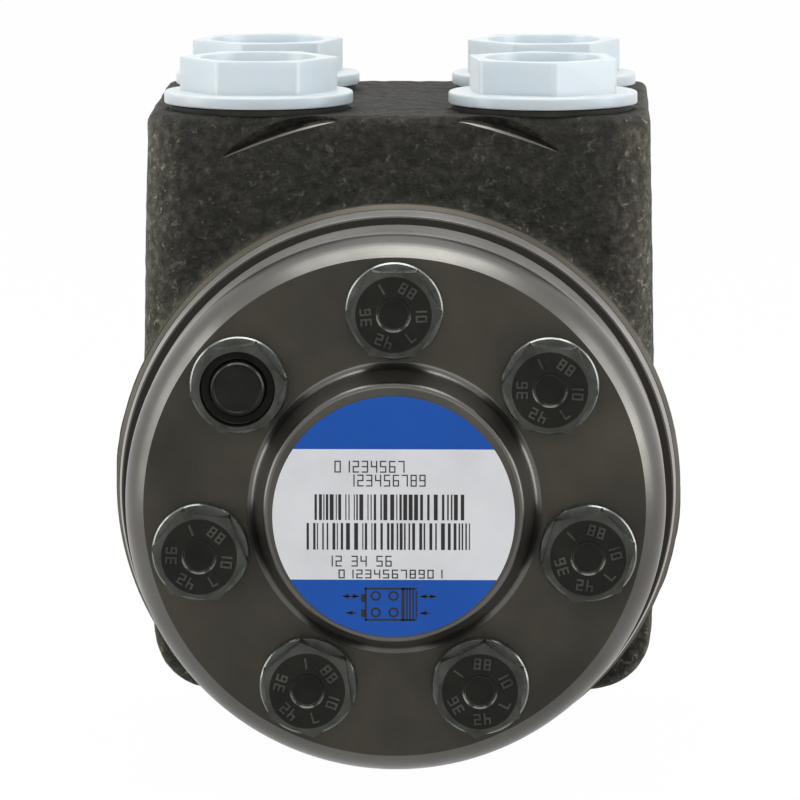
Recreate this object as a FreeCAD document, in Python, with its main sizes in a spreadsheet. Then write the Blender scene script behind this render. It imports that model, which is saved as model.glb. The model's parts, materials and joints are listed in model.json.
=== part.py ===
import FreeCAD, Part
import math
import os
import re

import Sketcher

# Hydrostatic steering valve with a gerotor metering unit.
# Frame: the shaft axis runs along Y, the steering column bolts to the face at Y = 0, the end cover
# faces -Y and the four ports face +Z. A station is a distance from the column face towards the cover.

V = FreeCAD.Vector

# Counts
BOLTS = 7
ROTOR_LOBES = BOLTS - 1
SPLINE_TEETH = 12
NEEDLES = 14
SLEEVE_HOLES = 12
SPOOL_FLUTES = 6
SPRING_LEAVES = 4

# Driving dimensions in millimetres
SIZES = [
    # how far a cut runs past the face it opens, and the small chamfers
    ("cut_spare", "1"),
    ("edge_break", "0.3"),
    # stack of the four clamped parts
    ("housing_length", "92"),
    ("plate_thickness", "6"),
    ("stator_width", "12"),
    ("cover_thickness", "12"),
    ("plate_radius", "53.3"),
    ("stator_radius", "52"),
    # housing casting
    ("flange_radius", "55.2"),
    ("flange_length", "11"),
    ("rim_radius", "53.8"),
    ("rim_step", "1.4"),
    ("block_width", "100"),
    ("block_top", "72.1"),
    ("block_setback", "5.4"),
    ("block_round", "9"),
    ("top_round", "1.2"),
    ("barrel_radius", "46"),
    ("foot_bottom", "45.4"),
    ("foot_width", "99.4"),
    ("foot_length", "62"),
    ("foot_round", "12"),
    ("cast_round", "2"),
    ("scallop_depth", "1.6"),
    ("scallop_inner", "9.5"),
    ("scallop_outer", "34.5"),
    ("scallop_drop", "7.8"),
    ("scallop_middle_drop", "3.3"),
    ("scallop_lip_drop", "1.6"),
    ("scallop_lip_width", "2"),
    # steering column joint
    ("column_circle", "82.5"),
    ("column_thread", "4.25"),
    ("column_depth", "18"),
    # cover
    ("cover_radius", "52"),
    ("cover_face_radius", "45.8"),
    ("cover_shoulder_radius", "47.7"),
    ("cover_shoulder_drop", "1.9"),
    ("cover_bevel_end", "9.4"),
    ("cover_boss_radius", "24.7"),
    ("cover_boss_base", "26.3"),
    ("cover_boss_height", "7.5"),
    ("cover_boss_round", "0.9"),
    ("label_radius", "23.1"),
    ("label_thickness", "0.25"),
    ("label_drop", "0.7"),
    # cover bolts
    ("bolt_circle", "38"),
    ("bolt_radius", "5"),
    ("bolt_gap", "0.25"),
    ("thread_gap", "0.02"),
    ("bolt_flats", "16"),
    ("bolt_head_height", "6.4"),
    ("bolt_engagement", "18"),
    ("bolt_point", "1"),
    ("bolt_hole_spare", "3"),
    ("bolt_crown", "1.1"),
    ("bolt_crown_step", "0.6"),
    ("bolt_dimple_radius", "3.1"),
    ("bolt_dimple_depth", "0.7"),
    ("washer_radius", "9.25"),
    ("washer_thickness", "2"),
    ("pin_bolt_boss", "5.2"),
    ("pin_bolt_cup", "7.2"),
    ("pin_bolt_cup_depth", "1.8"),
    # check valve under the pin bolt
    ("check_pin_radius", "1.5"),
    ("check_pin_length", "6"),
    ("check_ball_radius", "4.2"),
    ("check_ball_lift", "1.2"),
    ("check_seat_bore", "2.9"),
    ("check_seat_length", "6"),
    # ports and transit plugs
    ("port_spacing", "56"),
    ("port_front_station", "68"),
    ("port_rear_station", "21"),
    ("port_radius", "10.3"),
    ("port_depth", "15"),
    ("port_face_radius", "18.4"),
    ("port_face_depth", "0.4"),
    ("plug_gap", "0.1"),
    ("plug_flange_radius", "18.65"),
    ("plug_flange_thickness", "2.4"),
    ("plug_flats", "27"),
    ("plug_head_height", "6.6"),
    ("plug_wall", "2.2"),
    ("plug_shank_length", "9.5"),
    ("plug_shank_wall", "1.8"),
    ("plug_cup_floor", "2"),
    ("plug_chamfer", "0.8"),
    ("plug_seal_height", "1.5"),
    ("plug_seal_radius", "17.8"),
    ("gallery_radius", "4"),
    ("gallery_inset", "10"),
    ("gallery_rise", "15"),
    ("gallery_shift", "6"),
    ("gallery_overlap", "2"),
    ("annulus_radius", "21.8"),
    ("annulus_width", "6"),
    # sleeve and spool
    ("sleeve_radius", "19"),
    ("spool_radius", "14"),
    ("running_gap", "0.03"),
    ("end_gap", "0.05"),
    ("dust_seal_radius", "17.5"),
    ("dust_seal_width", "3.5"),
    ("dust_seal_lip", "0.4"),
    ("seal_land", "1"),
    ("seal_land_radius", "15"),
    ("shaft_seal_radius", "17"),
    ("shaft_seal_width", "4.5"),
    ("seal_gap", "0.05"),
    ("lip_foot", "1.2"),
    ("lip_back", "0.8"),
    ("shaft_lip_start", "2.25"),
    ("shaft_lip_end", "1.35"),
    ("dust_lip_start", "1.05"),
    ("dust_lip_end", "1.6"),
    ("race_thickness", "1.5"),
    ("race_inner_radius", "14.3"),
    ("race_outer_radius", "18.8"),
    ("needle_radius", "1"),
    ("needle_length", "3.2"),
    ("needle_gap", "0.06"),
    ("cage_thickness", "1.2"),
    ("cage_gap", "0.1"),
    ("spool_nose", "1.5"),
    ("spool_end", "87"),
    ("spool_bore", "11"),
    ("socket_length", "19"),
    ("socket_chamfer", "1"),
    ("spool_chamfer", "0.6"),
    ("spline_root", "8.2"),
    ("spline_tip", "9.9"),
    ("spline_overlap", "0.8"),
    ("spline_base_width", "2.6"),
    ("spline_tip_width", "1.8"),
    ("socket_gap", "0.15"),
    ("rotor_spline_gap", "0.32"),
    ("spring_station", "26"),
    ("spring_width", "6"),
    ("spring_leaf", "0.6"),
    ("spring_slot_gap", "0.1"),
    ("spring_end_gap", "0.2"),
    ("leaf_gap", "0.03"),
    ("spring_ring_thickness", "0.8"),
    ("spring_ring_width", "7"),
    ("spring_ring_gap", "0.1"),
    ("flute_width", "3"),
    ("flute_depth", "1"),
    ("flute_start", "58"),
    ("flute_end", "78"),
    ("sleeve_hole_radius", "1.8"),
    # cross pin and drive shaft
    ("pin_station", "38"),
    ("pin_radius", "4"),
    ("pin_gap", "0.02"),
    ("pin_end_gap", "0.15"),
    ("spool_window", "13.6"),
    ("spool_window_gap", "0.2"),
    ("fork_radius", "8.4"),
    ("fork_reach", "6"),
    ("fork_slot_end", "7"),
    ("fork_length", "12"),
    ("fork_gap", "0.15"),
    ("fork_chamfer", "1"),
    ("shaft_taper", "3"),
    ("shaft_radius", "6"),
    ("shaft_head_length", "8"),
    # gerotor
    ("eccentricity", "3.2"),
    ("lobe_circle", "31.5"),
    ("lobe_radius", "8"),
    ("rotor_gap", "0.06"),
    ("root_gap", "0.2"),
    ("spacer_thickness", "1.4"),
    ("channel_circle", "25"),
    ("channel_radius", "2.5"),
    ("channel_depth", "12"),
    ("channel_cross_radius", "1.8"),
    ("plate_bore", "11.5"),
    # face O-rings
    ("ring_circle", "31.4"),
    ("ring_groove_width", "2"),
    ("ring_groove_depth", "1.5"),
    ("ring_gap", "0.02"),
]

doc = FreeCAD.newDocument("steering_valve")
dims = doc.addObject("Spreadsheet::Sheet", "dims")
for row, (alias, number) in enumerate(SIZES, 1):
    dims.set(f"A{row}", alias)
    dims.set(f"B{row}", number)
    dims.setAlias(f"B{row}", alias)
doc.recompute()

# Stations along the shaft axis
AT_PLATE = "housing_length"
AT_STATOR = "(housing_length + plate_thickness)"
AT_COVER = "(housing_length + plate_thickness + stator_width)"
COVER_FACE = "(housing_length + plate_thickness + stator_width + cover_thickness)"
WASHER_FACE = f"({COVER_FACE} + washer_thickness)"
BOLT_TIP = "(housing_length - bolt_engagement)"
AT_SEAL = "(dust_seal_width + seal_land)"
AT_BEARING = f"({AT_SEAL} + shaft_seal_width)"
AT_CAGE = f"({AT_BEARING} + race_thickness)"
AT_INNER_RACE = f"({AT_CAGE} + 2 * needle_radius + 2 * needle_gap)"
SLEEVE_START = f"({AT_INNER_RACE} + race_thickness + end_gap)"
ROTOR_MIDDLE = f"({AT_STATOR} + stator_width / 2)"
BALL_STATION = (
    "(housing_length - bolt_engagement - check_pin_length - check_ball_lift"
    " - check_ball_radius)"
)
SEAT_FACE = (
    f"({BALL_STATION} - sqrt(check_ball_radius * check_ball_radius"
    " - check_seat_bore * check_seat_bore))"
)

# Radii that follow from others
SLEEVE_BORE = "(sleeve_radius + running_gap)"
SPOOL_BORE = "(spool_radius + running_gap)"
STATOR_ROOT = "(lobe_circle + 2 * eccentricity - lobe_radius + root_gap)"
BOLT_HOLE = "(bolt_radius + bolt_gap)"
THREAD_HOLE = "(bolt_radius + thread_gap)"
SPRING_STACK = f"({SPRING_LEAVES} * spring_leaf)"

nodes = []


def sheet(text):
    """The expression with each size written as its cell of the sheet."""
    return re.sub(r"[a-z]+(?:_[a-z]+)+|eccentricity", r"dims.\g<0>", text)


def value(text):
    return float(dims.evalExpression(sheet(text)))


def bind(item, prop, text):
    """Set a property and keep it tied to the sheet."""
    item.setExpression(prop, sheet(text))


def plane(body, role):
    return next(f for f in body.Origin.OriginFeatures if f.Role == role)


def new_body(name):
    body = doc.addObject("PartDesign::Body", name)
    body.Label = name
    return body


def finish(item, name):
    """Register a finished piece under the name of its file."""
    item.Label = name
    nodes.append((name, item))
    return item


def put(item, x="0", station="0", z="0", axis=None, angle="0"):
    """Place a piece by its X, its station and its height, turned about one axis."""
    if axis:
        item.Placement = FreeCAD.Placement(V(), FreeCAD.Rotation(axis, value(angle)))
        bind(item, "Placement.Rotation.Angle", angle)
    bind(item, "Placement.Base.x", x)
    bind(item, "Placement.Base.y", f"-({station})")
    bind(item, "Placement.Base.z", z)


def new_sketch(body, role, name, offset="0"):
    drawn = body.newObject("Sketcher::SketchObject", name)
    drawn.AttachmentSupport = [(plane(body, role), "")]
    drawn.MapMode = "FlatFace"
    bind(drawn, "AttachmentOffset.Base.z", offset)
    return drawn


def hold(drawn, geometry, point, x, y):
    """Tie a point of a sketch to its two coordinates."""
    for kind, text in (("DistanceX", x), ("DistanceY", y)):
        rule = drawn.addConstraint(
            Sketcher.Constraint(kind, -1, 1, geometry, point, value(text))
        )
        bind(drawn, f"Constraints[{rule}]", text)


def polygon(drawn, corners):
    first = drawn.GeometryCount
    count = len(corners)
    spots = [V(value(x), value(y), 0) for x, y in corners]
    for i in range(count):
        drawn.addGeometry(Part.LineSegment(spots[i], spots[(i + 1) % count]))
    for i in range(count):
        following = first + (i + 1) % count
        drawn.addConstraint(Sketcher.Constraint("Coincident", first + i, 2, following, 1))
    for i, (x, y) in enumerate(corners):
        hold(drawn, first + i, 1, x, y)


def rectangle(drawn, left, right, low, high):
    polygon(drawn, [(left, low), (right, low), (right, high), (left, high)])


def circle(drawn, x, y, radius):
    ring = drawn.addGeometry(Part.Circle(V(value(x), value(y), 0), V(0, 0, 1), value(radius)))
    hold(drawn, ring, 3, x, y)
    rule = drawn.addConstraint(Sketcher.Constraint("Radius", ring, value(radius)))
    bind(drawn, f"Constraints[{rule}]", radius)


def hexagon(drawn, flats, turn=0):
    """A regular hexagon by its width across flats."""
    reach = f"({flats}) / 2 / cos(30)"
    polygon(
        drawn,
        [
            (f"{reach} * cos({60 * i + turn})", f"{reach} * sin({60 * i + turn})")
            for i in range(6)
        ],
    )


def turned(body, name, outline, role="XY_Plane", cut=False):
    """A revolved solid or cut. Round Y the outline is (radius, station), round Z it is (radius, height)."""
    drawn = new_sketch(body, role, name + "_profile")
    sign = "-" if role == "XY_Plane" else ""
    loops = outline if isinstance(outline[0], list) else [outline]
    for loop in loops:
        polygon(drawn, [(r, f"{sign}({s})") for r, s in loop])
    feature = body.newObject(
        "PartDesign::Groove" if cut else "PartDesign::Revolution", name
    )
    feature.Profile = drawn
    feature.ReferenceAxis = (drawn, ["V_Axis"])
    feature.Angle = 360
    return feature


def padded(body, name, drawn, length, back=False):
    feature = body.newObject("PartDesign::Pad", name)
    feature.Profile = drawn
    feature.Reversed = back
    bind(feature, "Length", length)
    return feature


def pocketed(body, name, drawn, length, back=False, middle=False):
    feature = body.newObject("PartDesign::Pocket", name)
    feature.Profile = drawn
    feature.Reversed = back
    feature.Midplane = middle
    bind(feature, "Length", length)
    return feature


def polar(body, name, features, drawn, count, axis="N_Axis", sweep=360):
    pattern = body.newObject("PartDesign::PolarPattern", name)
    pattern.Originals = features
    pattern.Axis = (drawn, [axis])
    pattern.Angle = sweep
    pattern.Occurrences = count
    body.Tip = pattern
    return pattern


def rounded(body, name, radius, test):
    """A fillet on every edge whose box passes the test."""
    doc.recompute()
    base = body.Tip
    chosen = [
        f"Edge{i}"
        for i, edge in enumerate(base.Shape.Edges, 1)
        if edge.Length > 0.5 and test(edge)
    ]
    feature = body.newObject("PartDesign::Fillet", name)
    feature.Base = (base, chosen)
    bind(feature, "Radius", radius)
    return feature


def ring(name, inner, outer, start, length):
    """A plain ring round the shaft axis."""
    body = new_body(name)
    end = f"({start}) + {length}"
    turned(body, name + "_ring", [(inner, start), (outer, start), (outer, end), (inner, end)])
    return finish(body, name)


def round_holes(body, name, radius, start, length, circle_radius, half_step=False):
    """One hole per cover bolt, or half a step on, cut from a station back towards the column."""
    angle = 180 / BOLTS if half_step else 0
    drawn = new_sketch(body, "XZ_Plane", name + "_spot", start)
    circle(drawn, f"{circle_radius} * sin({angle})", f"{circle_radius} * cos({angle})", radius)
    hole = pocketed(body, name + "_hole", drawn, length)
    return polar(body, name, [hole], drawn, BOLTS)


def face_groove(body, name, station, towards):
    """An O-ring groove in a flat face; towards is + where the metal lies at higher stations."""
    inner = "ring_circle - ring_groove_width / 2"
    outer = "ring_circle + ring_groove_width / 2"
    floor = f"({station}) {towards} ring_groove_depth"
    turned(
        body, name, [(inner, station), (outer, station), (outer, floor), (inner, floor)], cut=True
    )


def copies(name, master, spots):
    """Links to one master at several places, joined as one node of separate solids."""
    links = []
    for i, spot in enumerate(spots):
        link = doc.addObject("App::Link", f"{name}_{i}")
        link.LinkedObject = master
        link.LinkTransform = False
        put(link, **spot)
        links.append(link)
    group = doc.addObject("Part::Compound", name)
    group.Links = links
    return finish(group, name)


def bolt_spot(index, station):
    angle = 360 / BOLTS * index
    return {
        "x": f"-bolt_circle * sin({angle})",
        "station": station,
        "z": f"bolt_circle * cos({angle})",
    }


def make_housing():
    """Ductile iron casting: flange, barrel, port block and the foot with the column threads."""
    body = new_body("housing")
    half = "block_width / 2"
    foot_half = "foot_width / 2"
    front = "(housing_length - block_setback)"

    top = value("block_top")
    side = value(foot_half)
    front_y = -value(front)
    foot_y = -value("foot_length")
    bottom = -value("foot_bottom")

    def at(number, target):
        return abs(number - target) < 0.01

    # Block above and foot below the parting plane of the mould at Z = 0. The front corners of
    # the block are long and soft, its top edges nearly square.
    outline = new_sketch(body, "XZ_Plane", "block_outline")
    rectangle(outline, f"-{half}", half, "0", "block_top")
    padded(body, "port_block", outline, front)
    rounded(
        body,
        "block_corners",
        "block_round",
        lambda e: at(e.BoundBox.ZLength, top) and at(e.BoundBox.YMin, front_y),
    )
    rounded(
        body,
        "block_top_edges",
        "top_round",
        lambda e: at(e.BoundBox.ZMin, top) and e.BoundBox.YMin < -1,
    )
    outline = new_sketch(body, "XZ_Plane", "foot_outline")
    rectangle(outline, f"-{foot_half}", foot_half, "-foot_bottom", "0")
    padded(body, "foot", outline, "foot_length")
    rounded(
        body,
        "foot_corners",
        "foot_round",
        lambda e: at(e.BoundBox.YLength, e.Length)
        and at(abs(e.BoundBox.XMin), side)
        and at(e.BoundBox.ZMin, bottom),
    )
    rounded(
        body,
        "foot_front",
        "cast_round",
        lambda e: at(e.BoundBox.YMin, foot_y)
        and at(e.BoundBox.YMax, foot_y)
        and max(abs(e.BoundBox.XMin), abs(e.BoundBox.XMax)) > side - value("foot_round") + 0.1
        and e.BoundBox.ZMin < -1,
    )
    turned(
        body,
        "barrel",
        [
            ("0", "0"),
            ("barrel_radius", "0"),
            ("barrel_radius", "housing_length - rim_step - flange_length"),
            ("flange_radius", "housing_length - rim_step - flange_length"),
            ("flange_radius", "housing_length - rim_step"),
            ("rim_radius", "housing_length - rim_step"),
            ("rim_radius", "housing_length"),
            ("0", "housing_length"),
        ],
    )

    # slanted scallop in the front face under each front plug
    for mirror in ("", "-"):
        drawn = new_sketch(body, "XZ_Plane", "scallop_outline", front)
        polygon(
            drawn,
            [
                (f"{mirror}scallop_inner", "block_top + cut_spare"),
                (f"{mirror}scallop_inner", "block_top"),
                (f"{mirror}(scallop_inner + scallop_outer) / 2", "block_top - scallop_middle_drop"),
                (f"{mirror}scallop_outer", "block_top - scallop_drop"),
                (f"{mirror}(port_spacing / 2)", "block_top - scallop_lip_drop"),
                (f"{mirror}(port_spacing / 2 - scallop_lip_width)", "block_top + cut_spare"),
            ],
        )
        pocketed(body, "scallop", drawn, "scallop_depth")

    # stepped bore: dust seal seat, land, shaft seal seat, then the sleeve bore
    turned(
        body,
        "bore",
        [
            ("0", "-cut_spare"),
            ("dust_seal_radius", "-cut_spare"),
            ("dust_seal_radius", "dust_seal_width"),
            ("seal_land_radius", "dust_seal_width"),
            ("seal_land_radius", AT_SEAL),
            ("shaft_seal_radius", AT_SEAL),
            ("shaft_seal_radius", AT_BEARING),
            (SLEEVE_BORE, AT_BEARING),
            (SLEEVE_BORE, "housing_length + cut_spare"),
            ("0", "housing_length + cut_spare"),
        ],
        cut=True,
    )
    # four annular grooves, one for each port
    loops = []
    for row in ("port_front_station", "port_rear_station"):
        for side_sign in ("+", "-"):
            middle = f"{row} {side_sign} gallery_shift"
            low = f"{middle} - annulus_width / 2"
            high = f"{middle} + annulus_width / 2"
            loops.append(
                [
                    ("sleeve_radius - cut_spare", low),
                    ("annulus_radius", low),
                    ("annulus_radius", high),
                    ("sleeve_radius - cut_spare", high),
                ]
            )
    turned(body, "annuli", loops, cut=True)

    drawn = new_sketch(body, "XY_Plane", "port_faces", "block_top")
    for x in ("-port_spacing / 2", "port_spacing / 2"):
        for row in ("port_front_station", "port_rear_station"):
            circle(drawn, x, f"-{row}", "port_face_radius")
    pocketed(body, "port_spotfaces", drawn, "port_face_depth")
    drawn = new_sketch(body, "XY_Plane", "port_bores", "block_top")
    for x in ("-port_spacing / 2", "port_spacing / 2"):
        for row in ("port_front_station", "port_rear_station"):
            circle(drawn, x, f"-{row}", "port_radius")
    pocketed(body, "ports", drawn, "port_depth")
    gallery_number = 0
    for row in ("port_front_station", "port_rear_station"):
        for sign in (-1, 1):
            gallery_number += 1
            slanted_gallery(body, f"gallery_{gallery_number}", row, sign)

    # threads for the cover bolts, channels to the gerotor chambers, and the check valve bore
    round_holes(
        body, "cover_threads", THREAD_HOLE, "housing_length",
        "bolt_engagement + bolt_hole_spare", "bolt_circle",
    )
    round_holes(
        body, "channels", "channel_radius", "housing_length", "channel_depth",
        "channel_circle", half_step=True,
    )
    cross_channels(body)
    drawn = new_sketch(body, "XZ_Plane", "check_spot", "housing_length")
    angle = 360 / BOLTS
    circle(drawn, f"-bolt_circle * sin({angle})", f"bolt_circle * cos({angle})", THREAD_HOLE)
    pocketed(body, "check_bore", drawn, f"housing_length - {SEAT_FACE} + check_seat_length")
    face_groove(body, "ring_groove", AT_PLATE, "-")

    # column bolts
    drawn = new_sketch(body, "XZ_Plane", "column_spots")
    for sx in ("-", ""):
        for sz in ("-", ""):
            circle(
                drawn,
                f"{sx}column_circle / 2 * cos(45)",
                f"{sz}column_circle / 2 * sin(45)",
                "column_thread",
            )
    pocketed(body, "column_threads", drawn, "column_depth", back=True)
    return finish(body, "housing")


def slanted_gallery(body, name, row, sign):
    """A cored passage from the floor of a port down to its annular groove."""
    start = V(
        sign * value("port_spacing / 2"), -value(row), value("block_top - port_depth + gallery_overlap")
    )
    end = V(
        sign * value("gallery_inset"),
        -value(f"{row} + gallery_shift") if sign < 0 else -value(f"{row} - gallery_shift"),
        value("gallery_rise"),
    )
    hole = body.newObject("PartDesign::SubtractiveCylinder", name)
    bind(hole, "Radius", "gallery_radius")
    hole.Height = (end - start).Length
    hole.Placement = FreeCAD.Placement(start, FreeCAD.Rotation(V(0, 0, 1), end - start))
    return hole


def cross_channels(body):
    """Short radial holes that join the chamber channels to the sleeve bore."""
    angle = 180 / BOLTS
    hole = body.newObject("PartDesign::SubtractiveCylinder", "cross_channel")
    bind(hole, "Radius", "channel_cross_radius")
    bind(hole, "Height", "channel_circle - sleeve_radius + gallery_overlap")
    hole.Placement = FreeCAD.Placement(V(), FreeCAD.Rotation(V(0, 1, 0), angle))
    bind(hole, "Placement.Base.x", f"(sleeve_radius - gallery_overlap) * sin({angle})")
    bind(hole, "Placement.Base.y", "-(housing_length - channel_depth + channel_radius)")
    bind(hole, "Placement.Base.z", f"(sleeve_radius - gallery_overlap) * cos({angle})")
    drawn = body.getObject("channels_spot")
    polar(body, "cross_channels", [hole], drawn, BOLTS)


def make_plate():
    """Ground steel plate that leads each channel to its gerotor chamber."""
    body = new_body("distributor_plate")
    turned(
        body,
        "plate_disc",
        [
            ("plate_bore", AT_PLATE),
            ("plate_radius", AT_PLATE),
            ("plate_radius", AT_STATOR),
            ("plate_bore", AT_STATOR),
        ],
    )
    round_holes(body, "bolt_holes", BOLT_HOLE, AT_STATOR, "plate_thickness", "bolt_circle")
    round_holes(
        body, "chamber_holes", "channel_radius", AT_STATOR, "plate_thickness",
        "channel_circle", half_step=True,
    )
    face_groove(body, "plate_groove", AT_STATOR, "-")
    return finish(body, "distributor_plate")


def make_stator():
    """Outer gear ring with seven round lobes."""
    body = new_body("stator_ring")
    turned(
        body,
        "stator_blank",
        [
            (STATOR_ROOT, AT_STATOR),
            ("stator_radius", AT_STATOR),
            ("stator_radius", AT_COVER),
            (STATOR_ROOT, AT_COVER),
        ],
    )
    drawn = new_sketch(body, "XZ_Plane", "lobe_outline", AT_COVER)
    circle(drawn, "0", "lobe_circle", "lobe_radius")
    lobe = padded(body, "lobe", drawn, "stator_width", back=True)
    polar(body, "lobes", [lobe], drawn, BOLTS)
    round_holes(body, "stator_bolt_holes", BOLT_HOLE, AT_COVER, "stator_width", "bolt_circle")
    return finish(body, "stator_ring")


def make_cover():
    """Turned end cover with a bevelled rim and a raised boss for the label."""
    body = new_body("end_cover")
    boss_top = f"{COVER_FACE} + cover_boss_height"
    turned(
        body,
        "cover_turned",
        [
            ("0", AT_COVER),
            ("cover_radius", AT_COVER),
            ("cover_radius", f"{COVER_FACE} - cover_bevel_end"),
            ("cover_shoulder_radius", f"{COVER_FACE} - cover_shoulder_drop"),
            ("cover_face_radius", COVER_FACE),
            ("cover_boss_base", COVER_FACE),
            ("cover_boss_radius", boss_top),
            ("0", boss_top),
        ],
    )
    top_y = -value(boss_top)
    rounded(
        body,
        "boss_edge",
        "cover_boss_round",
        lambda e: abs(e.BoundBox.YMin - top_y) < 0.01 and e.BoundBox.XLength > 10,
    )
    round_holes(body, "cover_bolt_holes", BOLT_HOLE, COVER_FACE, "cover_thickness", "bolt_circle")
    face_groove(body, "cover_groove", AT_COVER, "+")
    return finish(body, "end_cover")


def make_label():
    body = new_body("label")
    start = f"{COVER_FACE} + cover_boss_height"
    drawn = new_sketch(body, "XZ_Plane", "label_outline", start)
    circle(drawn, "0", "-label_drop", "label_radius")
    padded(body, "label_disc", drawn, "label_thickness")
    return finish(body, "label")


def bolt_body(name, special=False):
    """A hexagon bolt: head towards -Y from the origin, shank towards +Y."""
    body = new_body(name)
    drawn = new_sketch(body, "XZ_Plane", name + "_hexagon")
    hexagon(drawn, "bolt_flats", turn=30)
    padded(body, name + "_head", drawn, "bolt_head_height")
    # the corners of the head are turned off to a crown
    flat = "bolt_flats / 2 - bolt_crown_step"
    corner = "bolt_flats / 2 / cos(30)"
    top = "bolt_head_height"
    turned(
        body,
        name + "_crown",
        [
            (flat, top),
            (f"{corner} + cut_spare", top),
            (f"{corner} + cut_spare", f"{top} - bolt_crown"),
            (corner, f"{top} - bolt_crown"),
        ],
        cut=True,
    )
    if special:
        turned(
            body,
            name + "_cup",
            [
                ("pin_bolt_boss", f"{top} - pin_bolt_cup_depth"),
                ("pin_bolt_cup", f"{top} - pin_bolt_cup_depth"),
                ("pin_bolt_cup", f"{top} + cut_spare"),
                ("pin_bolt_boss", f"{top} + cut_spare"),
            ],
            cut=True,
        )
    else:
        turned(
            body,
            name + "_dimple",
            [
                ("0", f"{top} - bolt_dimple_depth"),
                ("bolt_dimple_radius - bolt_dimple_depth", f"{top} - bolt_dimple_depth"),
                ("bolt_dimple_radius", top),
                ("bolt_dimple_radius", f"{top} + cut_spare"),
                ("0", f"{top} + cut_spare"),
            ],
            cut=True,
        )
    length = f"({WASHER_FACE} - {BOLT_TIP})"
    shank = [
        ("0", "0"),
        ("bolt_radius", "0"),
        ("bolt_radius", f"-({length}) + bolt_point"),
        ("bolt_radius - bolt_point", f"-({length})"),
    ]
    if special:
        shank += [
            ("check_pin_radius", f"-({length})"),
            ("check_pin_radius", f"-({length}) - check_pin_length"),
            ("0", f"-({length}) - check_pin_length"),
        ]
    else:
        shank += [("0", f"-({length})")]
    turned(body, name + "_shank", shank)
    return body


def make_bolts():
    master = bolt_body("bolt_master")
    copies(
        "cover_bolts",
        master,
        [bolt_spot(i, WASHER_FACE) for i in range(BOLTS) if i != 1],
    )
    pin_bolt = bolt_body("pin_bolt", special=True)
    put(pin_bolt, **bolt_spot(1, WASHER_FACE))
    finish(pin_bolt, "pin_bolt")
    washer = new_body("washer_master")
    turned(
        washer,
        "washer_ring",
        [
            (BOLT_HOLE, "0"),
            ("washer_radius", "0"),
            ("washer_radius", "washer_thickness - edge_break"),
            ("washer_radius - edge_break", "washer_thickness"),
            (BOLT_HOLE, "washer_thickness"),
        ],
    )
    copies("bolt_washers", washer, [bolt_spot(i, COVER_FACE) for i in range(BOLTS)])


def make_check_valve():
    """Ball and screwed seat below the pin of the pin bolt."""
    seat = new_body("check_valve_seat")
    turned(
        seat,
        "seat_bush",
        [
            ("check_seat_bore", "0"),
            ("bolt_radius", "0"),
            ("bolt_radius", "-check_seat_length"),
            ("check_seat_bore", "-check_seat_length"),
        ],
    )
    put(seat, **bolt_spot(1, SEAT_FACE))
    finish(seat, "check_valve_seat")
    ball = doc.addObject("Part::Sphere", "check_valve_ball")
    bind(ball, "Radius", "check_ball_radius - thread_gap")
    put(ball, **bolt_spot(1, BALL_STATION))
    finish(ball, "check_valve_ball")


def make_o_rings():
    section = "(ring_groove_depth / 2 - ring_gap)"
    places = (
        ("housing_o_ring", "housing_length - ring_groove_depth / 2"),
        ("plate_o_ring", f"{AT_STATOR} - ring_groove_depth / 2"),
        ("cover_o_ring", f"{AT_COVER} + ring_groove_depth / 2"),
    )
    for name, station in places:
        torus = doc.addObject("Part::Torus", name)
        bind(torus, "Radius1", "ring_circle")
        bind(torus, "Radius2", section)
        put(torus, station=station, axis=V(1, 0, 0), angle="90")
        finish(torus, name)


def make_seals():
    """Shaft seal with a lip towards the spool, and the outer dust seal."""
    lip = "spool_radius + seal_gap"
    shaft_seal = new_body("shaft_seal")
    turned(
        shaft_seal,
        "shaft_seal_ring",
        [
            (f"{lip} + lip_foot", AT_SEAL),
            ("shaft_seal_radius - thread_gap", AT_SEAL),
            ("shaft_seal_radius - thread_gap", AT_BEARING),
            (f"{lip} + lip_back", AT_BEARING),
            (lip, f"{AT_BEARING} - shaft_lip_end"),
            (lip, f"{AT_BEARING} - shaft_lip_start"),
        ],
    )
    finish(shaft_seal, "shaft_seal")
    dust_seal = new_body("dust_seal")
    turned(
        dust_seal,
        "dust_seal_ring",
        [
            (lip, "dust_seal_lip"),
            (f"{lip} + lip_back", "0"),
            ("dust_seal_radius - thread_gap", "0"),
            ("dust_seal_radius - thread_gap", "dust_seal_width"),
            (f"{lip} + lip_foot", "dust_seal_width"),
            (f"{lip} + lip_foot", "dust_lip_end"),
            (lip, "dust_lip_start"),
        ],
    )
    finish(dust_seal, "dust_seal")


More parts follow.
